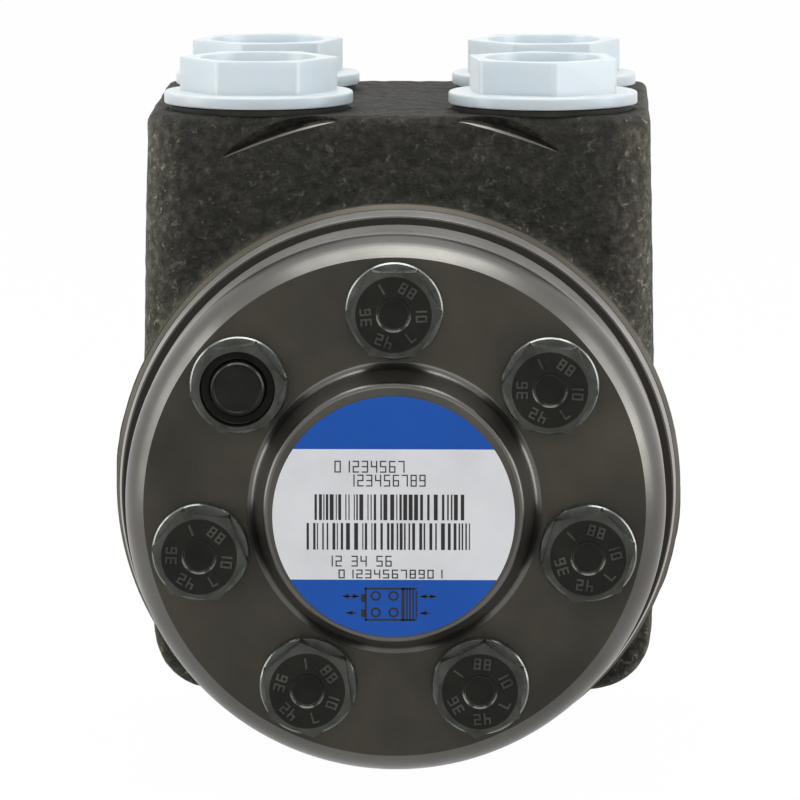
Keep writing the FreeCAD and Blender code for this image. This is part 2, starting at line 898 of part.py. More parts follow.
def make_bearing():
    """Needle thrust bearing between the housing shoulder and the sleeve."""
    ring("bearing_outer_race", "race_inner_radius", "race_outer_radius", AT_BEARING, "race_thickness")
    ring(
        "bearing_inner_race", "race_inner_radius", "race_outer_radius", AT_INNER_RACE,
        "race_thickness",
    )
    middle = f"({AT_CAGE} + needle_gap + needle_radius)"
    cage = new_body("bearing_cage")
    low = f"{middle} - cage_thickness / 2"
    high = f"{middle} + cage_thickness / 2"
    turned(
        cage,
        "cage_ring",
        [
            ("race_inner_radius + cage_gap", low),
            ("race_outer_radius - cage_gap", low),
            ("race_outer_radius - cage_gap", high),
            ("race_inner_radius + cage_gap", high),
        ],
    )
    centre = "(race_inner_radius + race_outer_radius) / 2"
    drawn = new_sketch(cage, "XZ_Plane", "cage_window", high)
    rectangle(
        drawn,
        "-(needle_radius + needle_gap)",
        "needle_radius + needle_gap",
        f"{centre} - needle_length / 2 - needle_gap",
        f"{centre} + needle_length / 2 + needle_gap",
    )
    window = pocketed(cage, "cage_slot", drawn, "cage_thickness")
    polar(cage, "cage_slots", [window], drawn, NEEDLES)
    finish(cage, "bearing_cage")

    needle = doc.addObject("Part::Cylinder", "needle_master")
    bind(needle, "Radius", "needle_radius")
    bind(needle, "Height", "needle_length")
    spots = []
    for i in range(NEEDLES):
        angle = 360 / NEEDLES * i
        spots.append(
            {
                "x": f"({centre} - needle_length / 2) * sin({angle})",
                "station": middle,
                "z": f"({centre} - needle_length / 2) * cos({angle})",
                "axis": V(0, 1, 0),
                "angle": f"{angle}",
            }
        )
    copies("bearing_needles", needle, spots)


def make_sleeve():
    """Outer valve sleeve, driven by the cross pin."""
    body = new_body("sleeve")
    end = "housing_length - end_gap"
    turned(
        body,
        "sleeve_tube",
        [
            (SPOOL_BORE, SLEEVE_START),
            ("sleeve_radius", SLEEVE_START),
            ("sleeve_radius", end),
            (SPOOL_BORE, end),
        ],
    )
    low = "spring_station - spring_ring_width / 2"
    high = "spring_station + spring_ring_width / 2"
    floor = "sleeve_radius - spring_ring_thickness"
    turned(
        body,
        "spring_ring_groove",
        [
            (floor, low),
            ("sleeve_radius + cut_spare", low),
            ("sleeve_radius + cut_spare", high),
            (floor, high),
        ],
        cut=True,
    )
    spring_slot(body, "sleeve_spring_slot")
    drawn = new_sketch(body, "YZ_Plane", "pin_spot")
    circle(drawn, "-pin_station", "0", "pin_radius + pin_gap")
    pocketed(body, "pin_holes", drawn, "2 * (sleeve_radius + cut_spare)", middle=True)
    for name, station in (
        ("front_holes", "port_front_station + gallery_shift"),
        ("middle_holes", "port_front_station - gallery_shift"),
        ("rear_holes", "port_rear_station + 4 * gallery_shift"),
    ):
        drawn = new_sketch(body, "XY_Plane", name + "_spot")
        circle(drawn, "0", f"-({station})", "sleeve_hole_radius")
        hole = pocketed(body, name + "_pair", drawn, "2 * (sleeve_radius + cut_spare)", middle=True)
        step = 360 / SLEEVE_HOLES
        pairs = SLEEVE_HOLES // 2
        polar(body, name, [hole], drawn, pairs, axis="V_Axis", sweep=step * (pairs - 1))
    return finish(body, "sleeve")


def spring_slot(body, name):
    drawn = new_sketch(body, "YZ_Plane", name + "_outline")
    half = f"({SPRING_STACK} / 2 + spring_slot_gap)"
    rectangle(
        drawn,
        "-(spring_station + spring_width / 2 + spring_slot_gap)",
        "-(spring_station - spring_width / 2 - spring_slot_gap)",
        f"-{half}",
        half,
    )
    return pocketed(body, name, drawn, "2 * (sleeve_radius + cut_spare)", middle=True)


def spline_outline(drawn, gap):
    """One tooth or tooth space of the 12-tooth spline, at the top of the pitch circle."""
    base = f"(spline_base_width / 2 + {gap})"
    tip = f"(spline_tip_width / 2 + {gap})"
    low = "spline_root - spline_overlap"
    high = f"spline_tip + {gap}"
    polygon(drawn, [(f"-{base}", low), (base, low), (tip, high), (f"-{tip}", high)])


def make_spool():
    """Inner valve spool with the splined socket of the steering column."""
    body = new_body("spool")
    turned(
        body,
        "spool_tube",
        [
            ("spline_root + socket_gap", "spool_nose + socket_chamfer"),
            ("spline_root + socket_gap + socket_chamfer", "spool_nose"),
            ("spool_radius - spool_chamfer", "spool_nose"),
            ("spool_radius", "spool_nose + spool_chamfer"),
            ("spool_radius", "spool_end"),
            ("spool_bore", "spool_end"),
            ("spool_bore", "spool_nose + socket_length"),
            ("spline_root + socket_gap", "spool_nose + socket_length"),
        ],
    )
    drawn = new_sketch(body, "XZ_Plane", "socket_space", "spool_nose + socket_length")
    spline_outline(drawn, "socket_gap")
    space = pocketed(body, "socket_slot", drawn, "socket_length + cut_spare")
    polar(body, "socket_spline", [space], drawn, SPLINE_TEETH)
    drawn = new_sketch(body, "YZ_Plane", "window_outline")
    half_width = "(pin_radius + spool_window_gap)"
    rectangle(
        drawn,
        f"-(pin_station + {half_width})",
        f"-(pin_station - {half_width})",
        "-spool_window / 2",
        "spool_window / 2",
    )
    pocketed(body, "pin_window", drawn, "2 * (spool_radius + cut_spare)", middle=True)
    spring_slot(body, "spool_spring_slot")
    drawn = new_sketch(body, "XZ_Plane", "flute_outline", "flute_end")
    rectangle(
        drawn, "-flute_width / 2", "flute_width / 2", "spool_radius - flute_depth",
        "spool_radius + cut_spare",
    )
    flute = pocketed(body, "flute", drawn, "flute_end - flute_start")
    polar(body, "flutes", [flute], drawn, SPOOL_FLUTES)
    return finish(body, "spool")


def make_springs():
    """Flat pack of centring leaves through the sleeve and the spool, and the ring that holds it."""
    length = "2 * (sleeve_radius - spring_ring_thickness - spring_end_gap)"
    springs = []
    for i in range(SPRING_LEAVES):
        leaf = doc.addObject("Part::Box", f"spring_leaf_{i}")
        bind(leaf, "Length", length)
        bind(leaf, "Width", "spring_width")
        bind(leaf, "Height", "spring_leaf - leaf_gap")
        put(
            leaf,
            x=f"-({length}) / 2",
            station="spring_station + spring_width / 2",
            z=f"-{SPRING_STACK} / 2 + {i} * spring_leaf",
        )
        springs.append(leaf)
    pack = doc.addObject("Part::Compound", "centring_springs")
    pack.Links = springs
    finish(pack, "centring_springs")
    ring(
        "spring_retaining_ring",
        "sleeve_radius - spring_ring_thickness + thread_gap",
        "sleeve_radius - thread_gap",
        "spring_station - spring_ring_width / 2 + spring_ring_gap",
        "spring_ring_width - 2 * spring_ring_gap",
    )


def make_cross_pin():
    pin = doc.addObject("Part::Cylinder", "cross_pin")
    bind(pin, "Radius", "pin_radius")
    half = "(sqrt(pow(sleeve_radius; 2) - pow(pin_radius; 2)) - pin_end_gap)"
    bind(pin, "Height", f"2 * {half}")
    put(
        pin,
        x=f"-{half}",
        station="pin_station",
        axis=V(0, 1, 0),
        angle="90",
    )
    return finish(pin, "cross_pin")


def make_drive_shaft():
    """Cardan shaft: a fork over the cross pin at one end, a spline in the orbiting rotor at the other."""
    body = new_body("drive_shaft")
    reach = f"sqrt(pow({ROTOR_MIDDLE} - pin_station; 2) + pow(eccentricity; 2))"
    head_start = f"({reach} - shaft_head_length / 2)"
    head_end = f"({reach} + shaft_head_length / 2)"
    turned(
        body,
        "shaft_turned",
        [
            ("0", "-fork_reach"),
            ("fork_radius - fork_chamfer", "-fork_reach"),
            ("fork_radius", "-fork_reach + fork_chamfer"),
            ("fork_radius", "fork_length"),
            ("shaft_radius", "fork_length + shaft_taper"),
            ("shaft_radius", f"{head_start} - shaft_taper"),
            ("spline_root", head_start),
            ("spline_root", head_end),
            ("0", head_end),
        ],
    )
    drawn = new_sketch(body, "XZ_Plane", "tooth_outline", head_end)
    spline_outline(drawn, "0")
    tooth = padded(body, "shaft_tooth", drawn, "shaft_head_length", back=True)
    polar(body, "shaft_spline", [tooth], drawn, SPLINE_TEETH)
    drawn = new_sketch(body, "YZ_Plane", "fork_outline")
    rectangle(
        drawn,
        "-fork_slot_end",
        "fork_reach + cut_spare",
        "-(pin_radius + fork_gap)",
        "pin_radius + fork_gap",
    )
    pocketed(body, "fork_slot", drawn, "2 * (fork_radius + cut_spare)", middle=True)
    put(
        body,
        station="pin_station",
        axis=V(1, 0, 0),
        angle=f"atan(eccentricity / ({ROTOR_MIDDLE} - pin_station))",
    )
    return finish(body, "drive_shaft")


def rotor_curve():
    """Rotor outline: the lobe centres seen from the rotor trace a trochoid, offset by the lobe radius."""
    big = value("lobe_circle")
    shift = value("eccentricity")
    offset = value("lobe_radius + rotor_gap")
    per_lobe = 30
    count = ROTOR_LOBES * per_lobe
    points = []
    for i in range(count):
        angle = 2 * math.pi * i / count
        across = big * math.sin(angle) - shift * math.sin(BOLTS * angle)
        along = big * math.cos(angle) - shift * math.cos(BOLTS * angle)
        normal_across = big * math.sin(angle) - BOLTS * shift * math.sin(BOLTS * angle)
        normal_along = big * math.cos(angle) - BOLTS * shift * math.cos(BOLTS * angle)
        length = math.hypot(normal_across, normal_along)
        points.append(
            V(
                across - offset * normal_across / length,
                along - offset * normal_along / length,
                0,
            )
        )
    curve = Part.BSplineCurve()
    curve.interpolate(Points=points, PeriodicFlag=True)
    return curve


def make_rotor():
    """Six-lobed rotor, resting with its centre below the shaft axis."""
    body = new_body("rotor")
    drawn = new_sketch(body, "XZ_Plane", "rotor_outline")
    drawn.addGeometry(rotor_curve())
    padded(body, "rotor_blank", drawn, "stator_width - 2 * rotor_gap")
    drawn = new_sketch(body, "XZ_Plane", "rotor_bore_outline")
    circle(drawn, "0", "0", "spline_root + rotor_spline_gap")
    pocketed(body, "rotor_bore", drawn, "stator_width", back=True)
    drawn = new_sketch(body, "XZ_Plane", "rotor_space_outline")
    spline_outline(drawn, "rotor_spline_gap")
    space = pocketed(body, "rotor_space", drawn, "stator_width", back=True)
    polar(body, "rotor_spline", [space], drawn, SPLINE_TEETH)
    put(
        body,
        station=f"{AT_STATOR} + rotor_gap",
        z="-eccentricity",
        axis=V(0, 1, 0),
        angle=f"{180 / ROTOR_LOBES}",
    )
    finish(body, "rotor")

    spacer = doc.addObject("Part::Cylinder", "rotor_spacer")
    bind(spacer, "Radius", "spline_root + rotor_spline_gap - rotor_gap")
    bind(spacer, "Height", "spacer_thickness")
    put(
        spacer,
        station=f"{AT_COVER} - rotor_gap - spacer_thickness",
        z="-eccentricity",
        axis=V(1, 0, 0),
        angle="90",
    )
    finish(spacer, "rotor_spacer")


def make_plug(name, x, row, turn):
    """Hollow plastic transit plug in a port, and the flat seal under its flange."""
    body = new_body(name)
    rise = "(plug_seal_height - port_face_depth)"
    flange_top = f"({rise} + plug_flange_thickness)"
    head_top = f"({flange_top} + plug_head_height)"
    shank = "port_radius - plug_gap"
    turned(
        body,
        name + "_turned",
        [
            ("0", rise),
            ("0", f"{rise} - plug_cup_floor"),
            (f"{shank} - plug_shank_wall", f"{rise} - plug_cup_floor"),
            (f"{shank} - plug_shank_wall", "-plug_shank_length"),
            (f"{shank} - plug_chamfer", "-plug_shank_length"),
            (shank, "-plug_shank_length + plug_chamfer"),
            (shank, rise),
            ("plug_flange_radius", rise),
            ("plug_flange_radius", f"{flange_top} - edge_break"),
            ("plug_flange_radius - edge_break", flange_top),
            ("0", flange_top),
        ],
        role="XZ_Plane",
    )
    drawn = new_sketch(body, "XY_Plane", name + "_hexagon", flange_top)
    hexagon(drawn, "plug_flats", turn=turn)
    padded(body, name + "_head", drawn, "plug_head_height")
    drawn = new_sketch(body, "XY_Plane", name + "_cup_outline", head_top)
    circle(drawn, "0", "0", "plug_flats / 2 - plug_wall")
    pocketed(body, name + "_cup", drawn, "plug_head_height")
    put(body, x=x, station=row, z="block_top")
    finish(body, name)

    seal_name = name + "_seal"
    seal = new_body(seal_name)
    turned(
        seal,
        seal_name + "_ring",
        [
            ("port_radius", "-port_face_depth"),
            ("plug_seal_radius", "-port_face_depth"),
            ("plug_seal_radius", rise),
            ("port_radius", rise),
        ],
        role="XZ_Plane",
    )
    put(seal, x=x, station=row, z="block_top")
    finish(seal, seal_name)


def make_plugs():
    left = "-port_spacing / 2"
    right = "port_spacing / 2"
    make_plug("plug_front_left", left, "port_front_station", 1)
    make_plug("plug_front_right", right, "port_front_station", 38)
    make_plug("plug_rear_left", left, "port_rear_station", 14)
    make_plug("plug_rear_right", right, "port_rear_station", 8)


def build():
    make_housing()
    make_plate()
    make_stator()
    make_cover()
    make_label()
    make_bolts()
    make_check_valve()
    make_o_rings()
    make_seals()
    make_bearing()
    make_sleeve()
    make_spool()
    make_springs()
    make_cross_pin()
    make_drive_shaft()
    make_rotor()
    make_plugs()
    doc.recompute()


def check_document():
    """Stop if any feature failed or any piece is empty or invalid."""
    faults = []
    for item in doc.Objects:
        if "Invalid" in item.State or "Error" in item.State:
            faults.append(f"{item.Name}: {item.State}")
    for name, item in nodes:
        shape = item.Shape
        if shape.isNull() or not shape.isValid() or not shape.Solids:
            faults.append(f"{name}: no valid solid")
    if faults:
        raise RuntimeError("; ".join(faults))


def write_parts():
    os.makedirs("parts", exist_ok=True)
    for name, item in nodes:
        item.Shape.exportStep(os.path.join("parts", name + ".step"))
        print(name, len(item.Shape.Solids), round(item.Shape.Volume, 2))


build()
check_document()
write_parts()
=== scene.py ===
# The looks of a hydraulic steering valve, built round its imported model.
# Ports face +Z, the end cover faces -Y and the steering column face is at Y = 0.
# Lengths are in metres; profiles of lathe() and the values taken out with "/ MM" are in
# millimetres.

import json
import math
import random

import bmesh
import bpy
from mathutils import Matrix, Vector, noise


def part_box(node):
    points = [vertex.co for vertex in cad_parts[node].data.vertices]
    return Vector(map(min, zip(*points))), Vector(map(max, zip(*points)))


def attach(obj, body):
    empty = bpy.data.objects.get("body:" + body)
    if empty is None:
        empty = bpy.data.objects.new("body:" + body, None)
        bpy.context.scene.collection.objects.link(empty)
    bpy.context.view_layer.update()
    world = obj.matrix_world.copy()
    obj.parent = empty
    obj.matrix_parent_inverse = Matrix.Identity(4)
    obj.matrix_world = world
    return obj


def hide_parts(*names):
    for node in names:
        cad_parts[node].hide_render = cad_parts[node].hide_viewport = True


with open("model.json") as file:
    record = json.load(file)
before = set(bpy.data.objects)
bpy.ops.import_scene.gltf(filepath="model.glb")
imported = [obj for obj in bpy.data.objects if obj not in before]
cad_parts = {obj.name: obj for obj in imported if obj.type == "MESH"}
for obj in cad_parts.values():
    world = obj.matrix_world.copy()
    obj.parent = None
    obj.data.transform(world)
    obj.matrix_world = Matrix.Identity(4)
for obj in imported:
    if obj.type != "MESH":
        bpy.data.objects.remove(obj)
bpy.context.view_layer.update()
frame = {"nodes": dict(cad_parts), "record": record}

MM = 0.001

# Stations along the shaft and heights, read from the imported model
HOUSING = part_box("housing")
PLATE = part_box("distributor_plate")
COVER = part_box("end_cover")
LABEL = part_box("label")
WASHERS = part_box("bolt_washers")
RIM_FRONT = HOUSING[0].y
BLOCK_TOP = HOUSING[1].z
COVER_FACE = WASHERS[1].y
WASHER_FACE = WASHERS[0].y
HEAD_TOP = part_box("cover_bolts")[0].y
BOSS_TOP = LABEL[1].y

# The casting: the round flange and barrel, the port block and its foot
ALLOWANCE = 0.8 * MM  # iron that the machining takes off the column face
RIM_BACK = RIM_FRONT + 1.4 * MM
FLANGE_BACK = -79.6 * MM
TURNED_BACK = -88.2 * MM
FLANGE_RADIUS = 55.1 * MM
RIM_RADIUS = 54.2 * MM
BARREL_RADIUS = 46 * MM
SLEEVE_BORE = 19.03 * MM
BLOCK_FRONT = -86.5 * MM
FOOT_FRONT = -62 * MM
FOOT_BOTTOM = -45.2 * MM
HALF_TOP = 49.3 * MM
HALF_MIDDLE = 50.6 * MM
HALF_FOOT = 49.6 * MM
MOULD_SHIFT = 0.18 * MM  # half the step between the two halves of the mould
PARTING_HALF = 1.3 * MM  # half the width of the ridge between them
PARTING_RISE = 0.2 * MM
LIMIT = 55.15 * MM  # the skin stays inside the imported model's box
VOXEL = 0.85 * MM  # of the remesh that melts the casting's parts together
PORT_X = 28 * MM
PORT_ROWS = {"front": -68 * MM, "rear": -21 * MM}
COLUMN_OFFSET = 82.5 / 2 / math.sqrt(2) * MM  # of the bolt holes, from their 82.5 mm circle
HOUSING_FINISHES = ["casting", "machined_iron", "rim", "turned_iron"]
CAST, MACHINED, BRIGHT, TURNED = range(4)

# The plate, the cover and its bolts
PLATE_RADIUS = 53.3 * MM
COVER_RADIUS = 52 * MM
COVER_FLAT = 48.1 * MM
BOSS_FOOT = 27.1 * MM
BOSS_RADIUS = 24.75 * MM
# The bevel finish is a lighter, more metallic copy of the cover finish, a painted highlight on the
# slopes; the boss finish is a lighter copy, painted light on the boss walls.
COVER_FINISHES = ["cover", "bevel", "boss", "rings"]
FACE, BEVEL, BOSS, RINGS = range(4)
BOLT_COUNT = 7
PIN_BOLT = 1
BOLT_CIRCLE = 38 * MM
HEAD_FLATS = 16 * MM
HEAD_TURNS = [30, 22, 38, 52, 5, 17, 35]  # degrees, as each bolt was left
HEAD_MARKS = (("88", 0), ("10", 58), ("7", 112), ("42", 170), ("36", 235), ("1", 300))
# Slots of the bolt and washer finishes: the plain finish, and a lighter copy that is a painted
# highlight.
PLAIN, PAINTED_HIGHLIGHT = range(2)

# The plugs and the centring leaves
PLUG_FLATS = 27.3 * MM
PLUG_TURNS = {"front_left": 1, "front_right": 38, "rear_left": 14, "rear_right": 8}
SPOOL_EDGE = 14.05 * MM
LEAF_COUNT = 4
LEAF_GAP = 0.02 * MM
LEAF_END_GAP = 0.25 * MM  # between a leaf's middle part and its ends

# The label: where the photograph shows it, in pixels, and its white band
LABEL_SCALE = 5.265  # pixels to a millimetre
LABEL_MIDDLE = (392.2, 515.6)
LABEL_DROP = 0.7
BAND_TOP = 12.25 * MM
BAND_BOTTOM = -12.8 * MM

# The camera: what it looks at and from how far in millimetres, and its bearing in degrees
CAMERA_AIM = (1.1, -124, 21)
CAMERA_DISTANCE = 1480
CAMERA_SIDE = 1.27
CAMERA_UP = 7.0


def colour(code):
    """An sRGB hex colour as linear RGBA."""
    parts = [int(code[i : i + 2], 16) / 255 for i in (1, 3, 5)]
    linear = [c / 12.92 if c <= 0.04045 else ((c + 0.055) / 1.055) ** 2.4 for c in parts]
    return (*linear, 1.0)


def level(value):
    """A grey of one linear value."""
    return (value, value, value, 1.0)


def add(tree, kind, links=(), stops=(), **settings):
    """A node with its settings, its links from other nodes' outputs and, on a ramp, its stops."""
    made = tree.nodes.new(kind)
    for key, value in settings.items():
        if key.startswith("in_"):
            socket = key[3:]
            made.inputs[int(socket) if socket.isdigit() else socket].default_value = value
        else:
            setattr(made, key, value)
    for output, socket in links:
        tree.links.new(output, made.inputs[socket])
    for index, (place, shade) in enumerate(stops):
        band = made.color_ramp.elements
        element = band[index] if index < 2 else band.new(place)
        element.position = place
        element.color = shade
    return made


def new_material(name):
    """A material with its node tree, its shader and the object coordinates."""
    material = bpy.data.materials.new(name)
    material.use_nodes = True
    tree = material.node_tree
    place = add(tree, "ShaderNodeTexCoord").outputs["Object"]
    return material, tree, tree.nodes["Principled BSDF"], place


def clouds(tree, place, scale, detail=4.0, rough=0.6):
    """Noise in object space; its scale is in cycles to a metre."""
    made = add(tree, "ShaderNodeTexNoise", [(place, "Vector")], in_Scale=scale, in_Detail=detail)
    made.inputs["Roughness"].default_value = rough
    return made.outputs["Fac"]


def tone(tree, source, *stops):
    """A ramp of places and colours over a value."""
    return add(tree, "ShaderNodeValToRGB", [(source, "Fac")], stops).outputs["Color"]


def relief(tree, shader, height, strength, depth):
    """Small surface relief, its depth in metres."""
    bump = add(
        tree, "ShaderNodeBump", [(height, "Height")], in_Strength=strength, in_Distance=depth
    )
    tree.links.new(bump.outputs["Normal"], shader.inputs["Normal"])


def blend(tree, share, first, second):
    """A mix of two colours; each may be a node's output or a fixed colour."""
    mix = add(tree, "ShaderNodeMix", data_type="RGBA")
    for socket, value in ((0, share), (6, first), (7, second)):
        if isinstance(value, tuple):
            mix.inputs[socket].default_value = value
        else:
            tree.links.new(value, mix.inputs[socket])
    return mix.outputs[2]


def cast_iron():
    """Ductile iron, sand cast and shot blasted: a dark brown-black skin of 0.5 to 3 mm grains,
    with olive patches, and a few pale worm-like streaks and pale specks that are painted
    highlights;
    its upright corners carry a painted sheen, a paler base colour, and its top a painted shade."""
    material, tree, shader, place = new_material("ductile_iron_sand_cast")
    patches = clouds(tree, place, 45.0, 5.0)
    grains = clouds(tree, place, 560.0, 8.0, 0.7)
    mottle = clouds(tree, place, 620.0, 8.0, 0.72)
    lumps = clouds(tree, place, 230.0, 4.0, 0.5)
    base = tone(
        tree,
        mottle,
        (0.36, colour("#1a1a15")),
        (0.5, colour("#282721")),
        (0.66, colour("#413f36")),
    )
    # Painted highlights: pale worm-like streaks and pale specks mixed into the base colour.
    veins = tone(
        tree,
        clouds(tree, place, 260.0, 3.0, 0.5),
        (0.472, level(0)),
        (0.5, level(0.62)),
        (0.528, level(0)),
    )
    breaks = tone(tree, clouds(tree, place, 560.0, 1.0, 0.5), (0.56, level(0)), (0.66, level(1)))
    streak_highlights = add(tree, "ShaderNodeVectorMath", [(veins, 0), (breaks, 1)], operation="MULTIPLY")
    specks = clouds(tree, place, 1300.0, 2.0, 0.5)
    painted_glints = tone(tree, specks, (0.71, level(0)), (0.78, level(0.5)))
    worn = tone(
        tree, patches, (0.34, colour("#dcdfd2")), (0.5, level(0.86)), (0.7, colour("#f8f4ef"))
    )
    skin = add(tree, "ShaderNodeVectorMath", [(base, 0), (worn, 1)], operation="MULTIPLY")
    streak_lit_skin = blend(tree, streak_highlights.outputs[0], skin.outputs[0], colour("#6b675b"))
    skin = blend(tree, painted_glints, streak_lit_skin, colour("#858075"))
    # Painted sheen: where the faces turn to the sides, the base colour grows up to four times as
    # bright.
    facing = add(tree, "ShaderNodeTexCoord").outputs["Normal"]
    ways = add(tree, "ShaderNodeSeparateXYZ", [(facing, 0)]).outputs
    aside = add(tree, "ShaderNodeMath", [(ways["X"], 0)], operation="ABSOLUTE").outputs[0]
    rubbed = tone(
        tree, aside, (0.02, level(0)), (0.6, level(0.5)), (0.97, level(1)), (1.0, level(0.15))
    )
    sheen_gain = add(tree, "ShaderNodeMapRange", [(rubbed, "Value")], in_3=1.0, in_4=4.0).outputs[0]
    skin = add(tree, "ShaderNodeVectorMath", [(skin, 0), (sheen_gain, "Scale")], operation="SCALE")
    skin = skin.outputs[0]
    # Painted shade: where the faces turn upwards, the base colour goes to near black.
    painted_top_shade = tone(tree, ways["Z"], (0.8, level(0)), (0.95, level(0.6)))
    skin = blend(tree, painted_top_shade, skin, colour("#14120f"))
    tree.links.new(skin, shader.inputs["Base Color"])
    shader.inputs["Specular IOR Level"].default_value = 0.24
    tree.links.new(
        tone(tree, mottle, (0.35, level(0.75)), (0.7, level(0.5))), shader.inputs["Roughness"]
    )
    height = add(
        tree, "ShaderNodeMath", [(lumps, 0), (grains, 2)], operation="MULTIPLY_ADD", in_1=2.2
    ).outputs[0]
    relief(tree, shader, height, 1.0, 0.0012)
    return material


def ring_steel(name, dark, light):
    """Steel, ground bright on its round faces; its flat faces get a dark base colour, a painted
    shade.
    """
    material, tree, shader, place = new_material(name)
    stains = clouds(tree, place, 60.0, 4.0)
    facing = add(tree, "ShaderNodeTexCoord").outputs["Normal"]
    along = add(tree, "ShaderNodeSeparateXYZ", [(facing, 0)]).outputs["Y"]
    flat = add(tree, "ShaderNodeMath", [(along, 0)], operation="ABSOLUTE").outputs[0]
    bright = tone(tree, stains, (0.3, colour(dark)), (0.7, colour(light)))
    # Painted shade: faces turned along the shaft blend to a dark base colour.
    share = tone(tree, flat, (0.4, level(0)), (0.7, level(1)))
    tree.links.new(blend(tree, share, bright, colour("#2f2d28")), shader.inputs["Base Color"])
    shader.inputs["Metallic"].default_value = 0.6
    shader.inputs["Roughness"].default_value = 0.42
    shader.inputs["Specular IOR Level"].default_value = 0.2
    relief(tree, shader, clouds(tree, place, 900.0, 3.0), 0.1, 0.0001)
    return material


def turned(name, dark, light, rough, metallic, pitch, strength, shine=0.3):
    """Steel or iron turned on a lathe: rings round the shaft axis at the tool's feed, drawn
    coarser than the real 0.1 mm so that they show."""
    material, tree, shader, place = new_material(name)
    patches = clouds(tree, place, 40.0, 5.0, 0.55)
    tree.links.new(
        tone(tree, patches, (0.3, colour(dark)), (0.72, colour(light))),
        shader.inputs["Base Color"],
    )
    shader.inputs["Metallic"].default_value = metallic
    shader.inputs["Specular IOR Level"].default_value = shine
    tree.links.new(
        tone(tree, patches, (0.35, level(rough + 0.05)), (0.7, level(rough - 0.05))),
        shader.inputs["Roughness"],
    )
    flat = add(
        tree, "ShaderNodeVectorMath", [(place, 0)], operation="MULTIPLY", in_1=(1, 0, 1)
    ).outputs[0]
    reach = add(tree, "ShaderNodeVectorMath", [(flat, 0)], operation="LENGTH").outputs["Value"]
    turns = add(
        tree, "ShaderNodeMath", [(reach, 0)], operation="MULTIPLY", in_1=2 * math.pi / pitch
    ).outputs[0]
    rings = add(tree, "ShaderNodeMath", [(turns, 0)], operation="SINE").outputs[0]
    relief(tree, shader, rings, strength, 0.00002)
    return material


def plain_steel(name, dark, light, rough, metallic=0.9, shine=0.5):
    """Hardened steel, ground or oiled, with faint stains a few millimetres across."""
    material, tree, shader, place = new_material(name)
    stains = clouds(tree, place, 170.0)
    tree.links.new(
        tone(tree, stains, (0.35, colour(dark)), (0.7, colour(light))),
        shader.inputs["Base Color"],
    )
    shader.inputs["Metallic"].default_value = metallic
    shader.inputs["Specular IOR Level"].default_value = shine
    tree.links.new(
        tone(tree, stains, (0.3, level(rough + 0.06)), (0.7, level(rough - 0.06))),
        shader.inputs["Roughness"],
    )
    relief(tree, shader, clouds(tree, place, 1500.0, 3.0), 0.15, 0.0001)
    return material


def nitrile():
    """Nitrile rubber, moulded: near black and matt, with a faint grey bloom."""
    material, tree, shader, place = new_material("nitrile_rubber_moulded")
    bloom = clouds(tree, place, 220.0)
    tree.links.new(
        tone(tree, bloom, (0.35, colour("#171714")), (0.75, colour("#2b2b27"))),
        shader.inputs["Base Color"],
    )
    shader.inputs["Roughness"].default_value = 0.6
    shader.inputs["Specular IOR Level"].default_value = 0.25
    relief(tree, shader, bloom, 0.1, 0.0002)
    return material


def polyethylene():
    """Polyethylene, injection moulded: milky and waxy, with light glowing in its thin walls."""
    material, tree, shader, place = new_material("polyethylene_moulded")
    flow = clouds(tree, place, 60.0, 3.0)
    tree.links.new(
        tone(tree, flow, (0.3, colour("#d3dee4")), (0.7, colour("#dfe6e9"))),
        shader.inputs["Base Color"],
    )
    shader.inputs["Roughness"].default_value = 0.3
    shader.inputs["Transmission Weight"].default_value = 0.3
    shader.inputs["Subsurface Weight"].default_value = 0.4
    shader.inputs["Subsurface Radius"].default_value = (0.9, 1.0, 1.1)
    shader.inputs["Subsurface Scale"].default_value = 0.003
    relief(tree, shader, flow, 0.06, 0.0004)
    return material


def printed_film(name, ink):
    """Vinyl film, printed: even ink under a satin lacquer."""
    material, tree, shader, place = new_material(name)
    lacquer = clouds(tree, place, 90.0, 3.0)
    full = colour(ink)
    worn = (full[0] * 0.92, full[1] * 0.92, full[2] * 0.92, 1.0)
    tree.links.new(tone(tree, lacquer, (0.3, worn), (0.6, full)), shader.inputs["Base Color"])
    shader.inputs["Specular IOR Level"].default_value = 0.2
    shader.inputs["Roughness"].default_value = 0.42
    relief(tree, shader, lacquer, 0.05, 0.0002)
    return material


